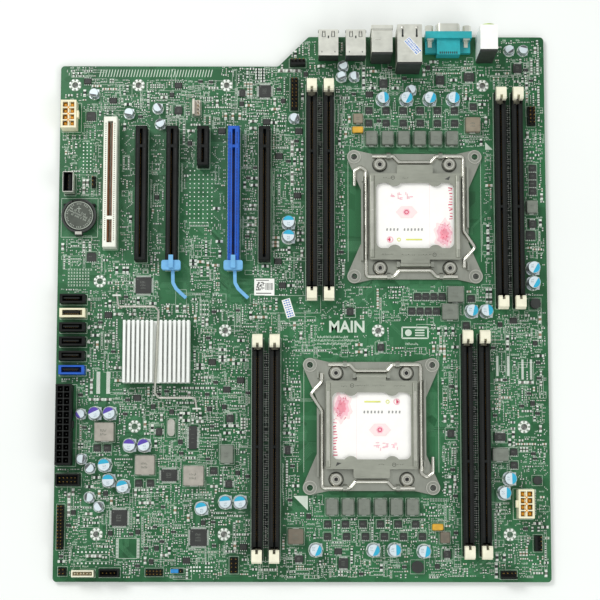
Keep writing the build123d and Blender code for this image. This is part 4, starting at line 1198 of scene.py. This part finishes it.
def slot_details():
    """Contacts, dark films over the contact windows as painted shade, and side ribs of the expansion sockets."""
    contacts = Batch("slot_contacts", slot="socket_black")
    for node in ("pcie_sockets_black", "pcie_socket_blue"):
        blue = node.endswith("blue")
        tone, window = (blue_plastic, recess_shade_blue) if blue else (black_plastic, recess_shade_black)
        ribs = Batch(f"{node}_ribs", slot="socket_blue" if blue else "socket_black")
        for solid in all_islands[node]:
            x, rear, top = solid["mid"][0], solid["high"][1], solid["high"][2]
            length = 89.5 if solid["size"][1] > 40 else solid["size"][1]
            for k in range(int(length - 8)):
                place = rear - 4 - (k + 0.5)
                key_near = abs(place - (rear - 13.5)) <= 1.2
                for side in (1, -1):
                    contacts.block(x + side * 0.84, place, top - 6.5, 0.2, 0.45, 1.4, gold)
                    if not key_near:
                        # Painted shade: a flat dark film over each contact window.
                        contacts.block(x + side * 2.3, place, top - 0.02, 0.85, 0.6, 0.03, window,
                                       0.0, 0.0)
            count = int(length / 2.4)
            for k in range(count):
                place = rear - (k + 0.5) * length / count
                for side in (1, -1):
                    ribs.block(x + side * 3.78, place, TOP, 0.28, 1.1, 9.4, tone)
        ribs.make()
    inner = Batch("pci_contacts", slot="socket_white")
    solid = all_islands["pci_socket"][0]
    x, y, _ = solid["mid"]
    length = solid["size"][1] - 8
    count = int(length / 1.27)
    for side in (1, -1):
        inner.block(x + side * 1.25, y, TOP + 4.2, 0.8, length, 5.4, brown_plastic)
        for place in [y + off for off in row(count, length / count)]:
            inner.block(x + side * 0.82, place, TOP + 4.4, 0.24, 0.6, 3.6, gold)
            # Painted shade: a dull film over each contact window of the white socket.
            inner.block(x + side * 2.9, place, TOP + 11.24, 0.8, 0.6, 0.02, recess_shade_pale, 0.0, 0.0)
    contacts.make()
    inner.make()


def pins_of(node, name, width, shown_from, material, slot):
    """Plated pins over a node's own square pins, found by their small flat tops."""
    mesh = frame["nodes"][node].data
    tops = {}
    for polygon in mesh.polygons:
        if polygon.normal.z > 0.95:
            corners = np.array([mesh.vertices[i].co for i in polygon.vertices]) / MM
            low, high = corners.min(0), corners.max(0)
            if max(high[0] - low[0], high[1] - low[1]) < 0.95:
                key = tuple(round((low[i] + high[i]) / 2, 1) for i in (0, 1))
                tops[key] = max(tops.get(key, 0), polygon.center.z / MM)
    batch = Batch(name, slot=slot)
    for (x, y), z in tops.items():
        height = z - shown_from
        if height > 1.0:
            batch.block(x, y, shown_from, width, width, height + 0.05, material, 0.0, 0.28)
    batch.make()


def surface(node, x, y, reach):
    """The highest point of a node within a given distance of a place."""
    mesh = frame["nodes"][node].data
    points = np.array([v.co for v in mesh.vertices]) / MM
    return max(pz for px, py, pz in points if math.hypot(px - x, py - y) < reach)


def star(points, outer, inner):
    """The outline of a star recess."""
    return [((outer if k % 2 else inner) * math.cos(math.pi * k / points),
             (outer if k % 2 else inner) * math.sin(math.pi * k / points)) for k in range(2 * points)]


def frame_screw_details():
    """Painted shade on the eight frame screws (shadow rings, turned grooves, star recesses); the corner ears'
    inserts.
    """
    marks = Batch("screw_recesses", slot="frame_steel")
    for solid in all_islands["cpu_frame_screws"]:
        x, y, top = solid["mid"][0], solid["mid"][1], solid["high"][2]
        # Painted shade: the two duller rings for the shade in the head's turned grooves, the black star for the
        # shade in its recess, and the dark ring lower down for the shadow in the gap round its foot.
        marks.ring(x, y, top, 3.45, 3.95, 0.03, groove_shade_steel, 40)
        marks.ring(x, y, top, 1.9, 2.3, 0.03, groove_shade_steel, 36)
        marks.prism(star(6, 1.6, 1.05), top, 0.03, recess_shade_black, x, y)
        marks.ring(x, y, top - 2.8, 4.2, 5.0, 0.3, shadow_and_print_steel, 40)
    for number, x, y, _ in CPUS:
        low, high = box(f"cpu_frame_{number}")
        reach = (high[0] - low[0]) / 2 - 4.6
        for side_x in (1, -1):
            for side_y in (1, -1):
                ear_x, ear_y = x + side_x * reach, y + side_y * reach
                boss = surface(f"cpu_frame_{number}", ear_x, ear_y, 4.7)
                marks.ring(ear_x, ear_y, boss, 4.05, 4.55, 0.03, bright_steel, 40)
                marks.ring(ear_x, ear_y, boss, 2.0, 2.5, 0.03, bright_steel, 32)
    marks.make()


def plate_marks(number, at, turn):
    """Painted highlights on the bead edges and small printed marks on a load plate; they move with it."""
    sheet_top = TOP + 6.2
    marks = Batch(f"load_plate_marks_{number}", body=f"cpu_load_plate_{number}", slot="frame_steel")
    px, py = at(22.4, 23.6)
    marks.prism([(0.0, 0.0), (-2.2, 1.9), (2.2, 1.9)], sheet_top, 0.02, label_ink, px, py, turn + 0.5)
    middle = at(0, 0)
    mesh = frame["nodes"][f"cpu_load_plate_{number}"].data
    points = np.array([v.co for v in mesh.vertices]) / MM
    bead_top = max(vz for vx, vy, vz in points
                   if abs(abs(vx - middle[0]) - 28.3) < 2.0 and abs(vy - middle[1]) < 30)
    # Painted highlights: bright steel strips on the bead tops, where the beads catch the light.
    for u in (-28.3, 28.3):
        marks.bar(at(u, -22.5), at(u, 22.5), 1.5, bead_top, 0.02, bright_steel)
    for u, v, n in ((-21, 24.8, 6), (-8, 24.8, 4), (-22, -26.2, 8), (-9, -26.4, 9), (2, -26.4, 9),
                    (16, -25.8, 4)):
        for k in range(n):
            a = at(u + k * 1.0, v)
            b = at(u + k * 1.0 + rng.uniform(0.3, 0.7), v + rng.choice((0, 0.6)))
            marks.bar(a, b, 0.26, sheet_top, 0.015, shadow_and_print_steel)
    for u, v in ((-14.5, 25.2), (12.6, -26.2)):
        cx, cy = at(u, v)
        marks.ring(cx, cy, sheet_top, 1.0, 1.3, 0.015, shadow_and_print_steel, 24)
        marks.bar((cx - 0.6, cy), (cx + 0.6, cy), 0.26, sheet_top, 0.015, shadow_and_print_steel)
    marks.make()


def card_print(cards, at, turn):
    """The card's print: a pale line, a pink blotch, red strokes, a rosette and rows of small marks."""
    film = 0.012
    z = box("cpu_socket_cards")[1][2]
    cards.bar(at(9.8, -21), at(9.8, 21), 0.25, z, film, card_blush)
    cx, cy = at(0, 0)
    for layer, tint, grow in ((2, card_blush, 1.0), (3, card_petal, 0.72), (4, card_pink, 0.42)):
        outline = []
        for k in range(48):
            angle = 2 * math.pi * k / 48
            reach = 1 + 0.1 * math.sin(5 * angle + 1) + 0.08 * math.sin(9 * angle)
            reach += 0.05 * math.sin(14 * angle)
            u = min(19.3 + grow * 6.6 * reach * math.cos(angle), 25.0 - (1 - grow))
            v = -12.2 + grow * 9.6 * reach * math.sin(angle)
            outline.append((u, v))
        cards.prism(outline, z + layer * film, film, tint, cx, cy, turn)
    z += 5 * film
    for k in range(34):
        u, v = rng.uniform(16, 24), rng.uniform(-20, -4)
        angle = rng.uniform(0, math.pi)
        half = rng.uniform(0.5, 1.3)
        end = min(u + half * math.cos(angle), 25.0)
        cards.bar(at(u, v), at(end, v + half * math.sin(angle)), 0.4, z + 0.001 * k, film,
                  card_pink if k % 3 else card_red)
    z += film + 0.04
    for k in range(12):
        v = -2.0 + 1.9 * k
        cards.bar(at(22.6 + 0.5 * math.sin(k), v), at(24.8, v + rng.uniform(-0.6, 1.0)), 0.7,
                  z + 0.001 * k, film, card_red if k % 2 else card_pink)
    z += 0.03
    for column in range(3):
        for k in range(7):
            u, v = -15.2 + column * 5.6 + rng.uniform(-1.9, 1.0), 10.8 + rng.uniform(0, 3.6)
            along = rng.random() < 0.5
            end = at(u + (1.9 if along else 0), v + (0 if along else 1.9))
            cards.bar(at(u, v), end, 0.5, z + 0.001 * (7 * column + k), film, card_petal)
    z += 0.04
    hexagon = [(7.2 * math.cos(math.radians(60 * k)), 4.6 * math.sin(math.radians(60 * k)))
               for k in range(6)]
    hx, hy = at(-5.5, 2.5)
    cards.prism(hexagon, z, film, card_blush, hx, hy, turn)
    z += 2 * film
    cards.prism([(2.5 * math.cos(a), 2.5 * math.sin(a))
                 for a in np.linspace(0, 2 * math.pi, 7)[:-1]], z, film, card_petal, hx, hy, turn)
    z += 2 * film
    cards.ring(hx, hy, z, 0.9, 1.5, film, card_red, 20)
    for k, wide in enumerate((1.0, 1.2, 1.0, 1.4, 0.0, 1.1, 1.1, 1.1, 1.1, 1.1, 1.1)):
        if wide:
            u = -18.5 + k * 2.3
            cards.bar(at(u, -9.9), at(u + wide * 0.2, -8.3), 0.9, z, film, card_grey)
    rx, ry = at(-16.5, -15.8)
    cards.ring(rx, ry, z, 1.5, 2.1, film, card_petal, 24)
    cards.prism([(0.0, 1.5), (-1.5, 0.0), (0.0, -1.5), (0.4, 0.0)], z + film, film, card_red, rx, ry, turn)
    cards.bar(at(-6, -15.8), at(4.6, -15.8), 0.9, z, film, card_yellow)
    cards.ring(*at(-10.6, -15.8), z, 0.8, 1.25, film, card_yellow, 16)


def cpu_details():
    """Marks on the load plates and frame screws, and the print on the socket cards."""
    frame_screw_details()
    cards = Batch("card_print", slot="card_paper")
    for number, x, y, way in CPUS:
        def at(u, v):
            """A place in the socket's own directions, with its lever at the same side each time."""
            return x + way * u, y + way * v

        turn = 0.0 if way > 0 else math.pi
        plate_marks(number, at, turn)
        card_print(cards, at, turn)
    cards.make()


# ---------------------------------------------------------------- rear ports and power connectors

# how thick the dark lines and the sticker on the ports' shells are
FILM = 0.04


def usb_details(dark, bright):
    """Springs and seams on the shells of the USB ports, and their tongues."""
    for solid in solids("usb_stacks"):
        x, front, top = solid["mid"][0], solid["high"][1], solid["high"][2]

        def seam(u0, v0, u1, v1, width, z=top, height=FILM):
            """A dark line, in millimetres from the middle of the stack's front edge."""
            dark.bar((x + u0, front + v0), (x + u1, front + v1), width, z, height, charcoal)

        for side in (1, -1):
            spring = side * 3.1
            seam(spring + 0.8, -1.0, spring + 1.0, -5.0, 0.5)
            seam(spring - 0.8, -1.0, spring - 1.0, -5.0, 0.5)
            seam(spring - 0.9, -5.0, spring + 0.9, -5.0, 0.32)
            bright.block(x + spring, front - 1.6, top, 1.3, 1.6, 0.25, bright_steel)
            seam(side * 4.3, -15.6, side * 4.3, -14.6, 0.5)
            seam(side * 6.7, -2.2, side * 6.7, -0.6, 0.35, top - 1.2, 0.9)
        seam(0, -4.2, 0, -6.0, 0.9)
        for level in (1.2, 8.6):
            port_inside(dark, bright, x, front, TOP + level)


def lan_details(dark, bright, colours):
    """The network port over two USB ports: springs, a striped sticker, contacts and two lamps."""
    solid = all_islands["lan_stack"][0]
    x, front, top = solid["mid"][0], solid["high"][1], solid["high"][2]
    for spring in (x + 4.6, x - 4.6):
        dark.bar((spring, front - 3.2), (spring, front - 8.0), 1.1, top, FILM, charcoal)
        dark.disc(spring, front - 7.8, top, 0.75, FILM, charcoal, 16)
        bright.disc(spring, front - 2.2, top, 1.0, 0.3, bright_steel, 20, dome=0.2)

    def sticker(u0, v0, u1, v1, z, material):
        """A flat rectangle in the slanted sticker's own directions."""
        outline = [(u0, v0), (u1, v0), (u1, v1), (u0, v1)]
        colours.prism(outline, z, FILM, material, x + 2.0, front - 14.5, -0.85)

    sticker(-6.2, -2.4, 6.2, 2.4, top, label_white)
    for k in range(10):
        for level in (-1.5, 0.0, 1.5):
            low = -5.8 + k * 1.2
            high = low + rng.uniform(0.5, 1.0)
            sticker(low, level - 0.5, high, level + 0.5, top + FILM, label_blue)
    for level in (1.0, 7.6):
        port_inside(dark, bright, x, front, TOP + level)
    mouth = TOP + 15.0
    dark.block(x, front - 11.6, mouth + 0.1, 11.5, 0.6, 7.8, black_plastic)
    for off in row(8, 1.02):
        bright.block(x + off, front - 8.2, mouth + 0.15, 0.4, 5.6, 0.7, gold)
    for side, tint in ((1, lime), (-1, tantalum)):
        colours.block(x + side * 6.4, front - 0.1, mouth + 8.4, 1.9, 0.5, 1.7, tint)


def ps2_details(dark, bright, colours):
    """Seams on the round ports' shell, and the two ports."""
    solid = all_islands["ps2_stack"][0]
    x, front, top = solid["mid"][0], solid["high"][1], solid["high"][2]
    for seam, z in ((0.8, top - 0.62), (1.8, top - 0.62), (2.8, top)):
        y = front - seam
        dark.bar((x - 6.6, y), (x + 6.6, y), 0.25, z, FILM, charcoal)
    for u0, u1, v, width, height in ((-6.2, 6.2, 3.6, 0.35, 0.1), (-4.5, -1.0, 10, 0.4, 0.08)):
        y = front - v
        bright.bar((x + u0, y), (x + u1, y), width, top, height, bright_steel)
    for level, tint in ((7.0, keyboard_purple), (20.0, mouse_green)):
        round_port(colours, bright, x, front, TOP + level, tint)


def port_details():
    """What shows of the rear ports."""
    dark = Batch("port_slots", slot="socket_black")
    bright = Batch("port_contacts", slot="port_steel")
    colours = Batch("port_colours", slot="audio_white")
    usb_details(dark, bright)
    lan_details(dark, bright, colours)
    ps2_details(dark, bright, colours)
    audio_rings(colours)
    serial_details(dark, bright)
    dark.make()
    bright.make()
    colours.make()


def port_inside(dark, bright, x, front, z):
    """The tongue of one USB port, with its four contacts."""
    dark.block(x, front - 5.9, z + 2.5, 10.6, 8.6, 2.1, black_plastic)
    for off in row(4, 2.4):
        bright.block(x + off, front - 6.0, z + 2.36, 1.0, 7.0, 0.2, gold)


def turned_disc(batch, x, y, z, radius, depth, material, sides=32, inner=0.0):
    """A disc or ring whose axis points to the rear."""
    angles = [2 * math.pi * i / sides for i in range(sides)]
    rows = [(radius, 0), (radius, depth)] + ([(inner, depth), (inner, 0)] if inner else [])
    points = []
    for r, d in rows:
        points += [(x + r * math.cos(a), y + d, z + r * math.sin(a)) for a in angles]
    faces = []
    loops = len(rows)
    for k in range(loops if inner else loops - 1):
        low, high = k * sides, ((k + 1) % loops) * sides
        faces += [(low + i, low + (i + 1) % sides, high + (i + 1) % sides, high + i) for i in range(sides)]
    if not inner:
        faces += [tuple(range(sides)), tuple(reversed(range(sides, 2 * sides)))]
        faces = [tuple(reversed(f)) for f in faces[:-2]] + [faces[-2], faces[-1]]
    batch.add(points, [tuple(reversed(f)) for f in faces], material)


def round_port(colours, bright, x, front, z, tint):
    """A round six-pin port: coloured insert, key and pins."""
    turned_disc(colours, x, front - 7.8, z, 4.5, 0.6, tint)
    turned_disc(colours, x, front - 2.2, z, 4.58, 2.25, tint, inner=4.1)
    colours.block(x, front - 4.9, z - 0.6, 2.2, 5.4, 1.2, black_plastic)
    for k in range(6):
        angle = math.radians(30 + 60 * k)
        turned_disc(bright, x + 2.7 * math.cos(angle), front - 7.3, z + 2.7 * math.sin(angle), 0.35, 4.5,
                    gold, 10)


def audio_rings(colours):
    """The coloured rings of the three audio jacks."""
    solid = all_islands["audio_stack"][0]
    x = solid["mid"][0]
    face = solid["high"][1] - 1.2
    for level, tint in ((6.0, jack_pink), (16.5, jack_blue), (27.0, lime)):
        turned_disc(colours, x, face - 0.02, TOP + level, 4.35, 1.2, tint, inner=1.95)


def serial_details(dark, bright):
    """Nine pins in the metal shell, and a row of dark marks and two seams on the moulded body."""
    body_low, body_high = box("serial_port_body")
    x = (body_low[0] + body_high[0]) / 2
    face = body_high[1]
    z = TOP + 6.3
    for row_z, count in ((1.42, 5), (-1.42, 4)):
        for off in row(count, 2.77):
            turned_disc(bright, x + off, face + 0.7, z + row_z, 0.5, 4.8, gold, 10)
    for k in range(9):
        dark.block(x + (k - 4) * 1.38, body_low[1] + 1.2, body_high[2] - 2.52, 0.8, 1.5, 0.12, charcoal)
    for side in (1, -1):
        edge_x = x + side * 5.4
        dark.bar((edge_x, face - 5.2), (edge_x, face - 14), 0.2, body_high[2] - 2.5, 0.05, teal)


def power_details():
    """Terminals in the power sockets, contacts in the drive ports and the inner USB port's shell."""
    pins_of("main_power_connector", "main_power_terminals", 1.0, TOP + 3.1, charcoal, "socket_black")
    pins_of("cpu_power_connectors", "cpu_power_terminals", 2.3, TOP + 3.1, amber, "socket_white")
    pins_of("pin_headers", "header_pins", 0.68, TOP + 2.5, gold, "socket_black")
    drive = Batch("drive_port_contacts", slot="socket_black")
    for solid in solids(*DRIVE_PORTS):
        x, y = solid["mid"][0] - 0.6, solid["mid"][1] + 0.3
        drive.block(x, y, TOP + 2.3, 10.5, 1.26, 5.95, black_plastic)
        for off in row(7, 1.27):
            drive.block(x + off, y - 0.62, TOP + 2.4, 0.6, 0.2, 5.2, gold)
        pads.disc(solid["high"][0] + 1.6, y, TOP, 0.95, 0.04, tin, 16, dome=0.1)
    low, high = box("internal_usb_port")
    x, y = (low[0] + high[0]) / 2, (low[1] + high[1]) / 2
    wall_z, tall = TOP + 3.4, 10.25
    for wall_x in (high[0], low[0]):
        drive.block(wall_x, y, wall_z, 0.3, 13.3, tall, shell_steel)
    for wall_y in (high[1], low[1]):
        drive.block(x, wall_y, wall_z, 6.8, 0.3, tall, shell_steel)
    for off in row(4, 2.4):
        drive.block(x, y + off, TOP + 3.6, 0.25, 1.0, 7.6, gold)
    drive.make()
    band = Batch("power_latches", slot="socket_white")
    for solid in solids("cpu_power_connectors"):
        x, y, _ = solid["mid"]
        band.block(x, y, TOP + 2.95, 1.0, 16.0, 8.6, power_white)
    band.make()


def battery_details():
    """A ring, a circle of strokes, rows of strokes and a plus sign on the coin cell, and the holder's clip."""
    low, high = box("coin_cell")
    x, y = (low[0] + high[0]) / 2, (low[1] + high[1]) / 2
    face = high[2] - 0.01
    deep = 0.03
    marks = Batch("coin_cell_marks", body="coin_cell", slot="lever_steel")
    marks.ring(x, y, face, 8.9, 9.3, deep, cell_ink, 64)
    marks.bar((x - 1.4, y + 4.6), (x + 1.4, y + 4.6), 0.45, face, deep, cell_ink)
    marks.bar((x, y + 3.2), (x, y + 6.0), 0.45, face, deep, cell_ink)
    for off_y, count in ((2.5, 14), (0.0, 18), (-2.5, 16)):
        for off_x in row(count, 0.86):
            px, py = x + 0.9 * off_x - 0.35 * off_y, y - 0.42 * off_x + 0.9 * off_y
            if rng.random() < 0.85:
                end = (px + 0.35, py + rng.choice((0.9, 1.3)))
                marks.bar((px, py), end, 0.3, face, deep, cell_ink)
    for k in range(40):
        angle = math.radians(k * 9)
        a, b = ((x + r * math.cos(angle), y + r * math.sin(angle)) for r in (7.3, 8.3))
        if k % 4:
            marks.bar(a, b, 0.34, face, deep, cell_ink)
    marks.make()
    clip = Batch("battery_clip", slot="lever_steel")
    hold_low, hold_high = box("battery_holder")
    clip.block(x, hold_low[1] + 1.4, hold_high[2] - 0.3, 4.6, 2.2, 0.35, bright_steel)
    for side in (1, -1):
        clip.block(x + side * 9.2, y + 7.4, TOP, 2.6, 1.6, 3.0, black_plastic)
    clip.make()


def labels():
    """Two white stickers on the board: one with squares and bars, and a slanted one with blue marks."""
    sticker = Batch("labels", slot="card_paper")
    x, y = CENTRE_X - 25.1, CENTRE_Y + 11.7
    sticker.block(x, y, TOP, 13.3, 11.2, 0.1, label_white, 0.0, 0.02)
    z = TOP + 0.1
    for i in range(9):
        for j in range(9):
            if rng.random() < 0.5:
                sticker.block(x + (i - 9.0) * 0.62 + 0.4, y + (j - 3.2) * 0.62, z, 0.6, 0.6, 0.01,
                              label_ink, 0.0, 0.0)
    for k in range(12):
        a = x + 0.6 + k * 0.45
        sticker.bar((a, y - 2.0), (a, y + 2.6), rng.choice((0.12, 0.2, 0.28)), z, 0.01, label_ink)
    sticker.bar((x - 5.4, y + 4.4), (x + 3, y + 4.4), 0.5, z, 0.01, label_ink)
    sticker.bar((x - 5.4, y - 4.2), (x + 4.6, y - 4.2), 0.6, z, 0.01, label_ink)
    slant = math.radians(17)
    bx, by = CENTRE_X - 9.2, CENTRE_Y - 2.4
    sticker.block(bx, by, TOP, 5.6, 12.6, 0.1, label_white, slant, 0.02)
    for k in range(8):
        off = (k - 3.5) * 1.5
        cx, cy = bx - off * math.sin(slant), by + off * math.cos(slant)
        for part in (-1, 0, 1):
            shift = part * 1.5
            sticker.block(cx + shift * math.cos(slant), cy + shift * math.sin(slant), z, 1.1,
                          rng.uniform(0.5, 1.1), 0.01, label_blue, slant, 0.0)
    room.take_round(x, y, 7, 6)
    room.take_round(bx, by, 5, 7.5)
    sticker.make()


# ---------------------------------------------------------------- the solder side

def underside():
    """Solder cones under every plugged-in connector, and small parts behind the processor sockets."""
    joints = Batch("solder_joints", slot="can_aluminium")

    def grid(solid, columns, rows, pitch_x, pitch_y, stagger=0.0, shift=(0.0, 0.0)):
        """Cones in columns and rows under a solid, with every other column shifted by stagger."""
        x, y = solid["mid"][0] + shift[0], solid["mid"][1] + shift[1]
        for i, off_x in enumerate(row(columns, pitch_x)):
            for off_y in row(rows, pitch_y):
                joints.disc(x + off_x, y + (off_y + (stagger if i % 2 else 0.0)), UNDER - 1.3,
                            0.55, 1.3, solder, 8, low_radius=0.22)

    for solid in solids("memory_sockets"):
        grid(solid, 4, 58, 1.5, 2.0, 1.0)
    for solid in solids("pcie_sockets_black", "pcie_socket_blue", "pci_socket"):
        grid(solid, 4, int((solid["size"][1] - 14) / 2), 1.6, 2.0, 1.0, (0.0, 2.0))
    for solid in solids("main_power_connector", "cpu_power_connectors"):
        grid(solid, 2, int(solid["size"][1] / 4.2), 4.2, 4.2, 0.0, (-0.7, 0.0))
    for solid in solids(*DRIVE_PORTS):
        grid(solid, 7, 1, 1.27, 1.27)
    for solid in solids("pin_headers"):
        columns, rows = (max(1, int(size / 2.54)) for size in solid["size"][:2])
        grid(solid, columns, rows, 2.54, 2.54)
    for solid in solids("usb_stacks", "ps2_stack", "lan_stack", "audio_stack", "serial_port_body"):
        grid(solid, min(max(1, int(solid["size"][0] / 2.54)), 5), 2, 2.54, 2.54)
    for _, x, y, _ in CPUS:
        for i in range(11):
            for j in range(9):
                if rng.random() < 0.86:
                    small_part(x + (i - 5) * 2.7, y + (j - 4) * 2.6, UNDER, (1.6, 0.8, 0.8), 0.0, tan_body)
    joints.make()


# ---------------------------------------------------------------- floor, light and camera

def stage():
    """The pale floor, just below the object."""
    floor_mesh = bpy.data.meshes.new("floor")
    reach = 6.0
    corners = ((-reach, -reach), (reach, -reach), (reach, reach), (-reach, reach))
    floor_mesh.from_pydata([(x, y, -0.0002) for x, y in corners], [], [(0, 1, 2, 3)])
    floor = bpy.data.objects.new("floor", floor_mesh)
    bpy.context.scene.collection.objects.link(floor)
    n = Nodes("floor_paint")
    tint = n.mix(n.ramp(n.noise(3, 4), 0.3, 0.7), (0.88, 0.9, 0.88, 1), (0.93, 0.945, 0.93, 1))
    floor.data.materials.append(n.finish(tint, 0.9, Specular_IOR_Level=0.1))


def lamp(name, place, aim, size, power):
    """A round lamp aimed at a place."""
    data = bpy.data.lights.new(name, "AREA")
    data.shape = "DISK"
    data.size = size
    data.energy = power
    lamp_object = bpy.data.objects.new(name, data)
    lamp_object.location = place
    lamp_object.rotation_euler = (Vector(aim) - Vector(place)).to_track_quat("-Z", "Y").to_euler()
    bpy.context.scene.collection.objects.link(lamp_object)


def lights():
    """A soft even world and three large lamps."""
    world = bpy.data.worlds.new("studio")
    world.use_nodes = True
    background = world.node_tree.nodes["Background"]
    background.inputs["Color"].default_value = (0.97, 1.0, 0.98, 1)
    background.inputs["Strength"].default_value = 0.6
    bpy.context.scene.world = world
    middle = (CENTRE_X * MM, CENTRE_Y * MM, 0)
    lamp("key", (-0.75, 0.75, 1.3), middle, 0.7, 12)
    lamp("fill", (0.95, -0.45, 1.2), middle, 0.9, 5)
    lamp("front", (0.0, -1.1, 0.9), middle, 0.9, 2)


SENSOR_WIDTH = 36
CAMERA_LENS = 110.058
CAMERA_PLACE = (CENTRE_X - 6.1, CENTRE_Y - 141.8, UNDER + 1200)
CAMERA_TILT = (0.12031, -0.00374, 0.00133)


def camera():
    """The camera, nearly straight above the board."""
    data = bpy.data.cameras.new("camera")
    data.sensor_width = SENSOR_WIDTH
    data.lens = CAMERA_LENS
    data.clip_start, data.clip_end = 0.05, 20
    eye = bpy.data.objects.new("camera", data)
    turn = Matrix.Rotation(CAMERA_TILT[0], 3, "X") @ Matrix.Rotation(CAMERA_TILT[1], 3, "Y")
    turn = turn @ Matrix.Rotation(CAMERA_TILT[2], 3, "Z")
    place = Matrix.Translation([value * MM for value in CAMERA_PLACE])
    eye.matrix_world = place @ turn.to_4x4()
    bpy.context.scene.collection.objects.link(eye)
    bpy.context.scene.camera = eye
    bpy.context.scene.view_settings.view_transform = "Standard"


hole_rings()
labels()
part_outlines()
hatching()
lettering()
footprints()
tracks()
chip_details()
can_tops()
memory_details()
slot_details()
power_details()
cpu_details()
port_details()
battery_details()
between_sockets()
small_transistors(SMALL_TRANSISTORS)
scatter(SMALL_PARTS, SCATTER_TRIES)
filling(SCATTER_TRIES)
vias()
underside()
legend.make()
pads.make()
parts_small.make()
stage()
lights()
camera()
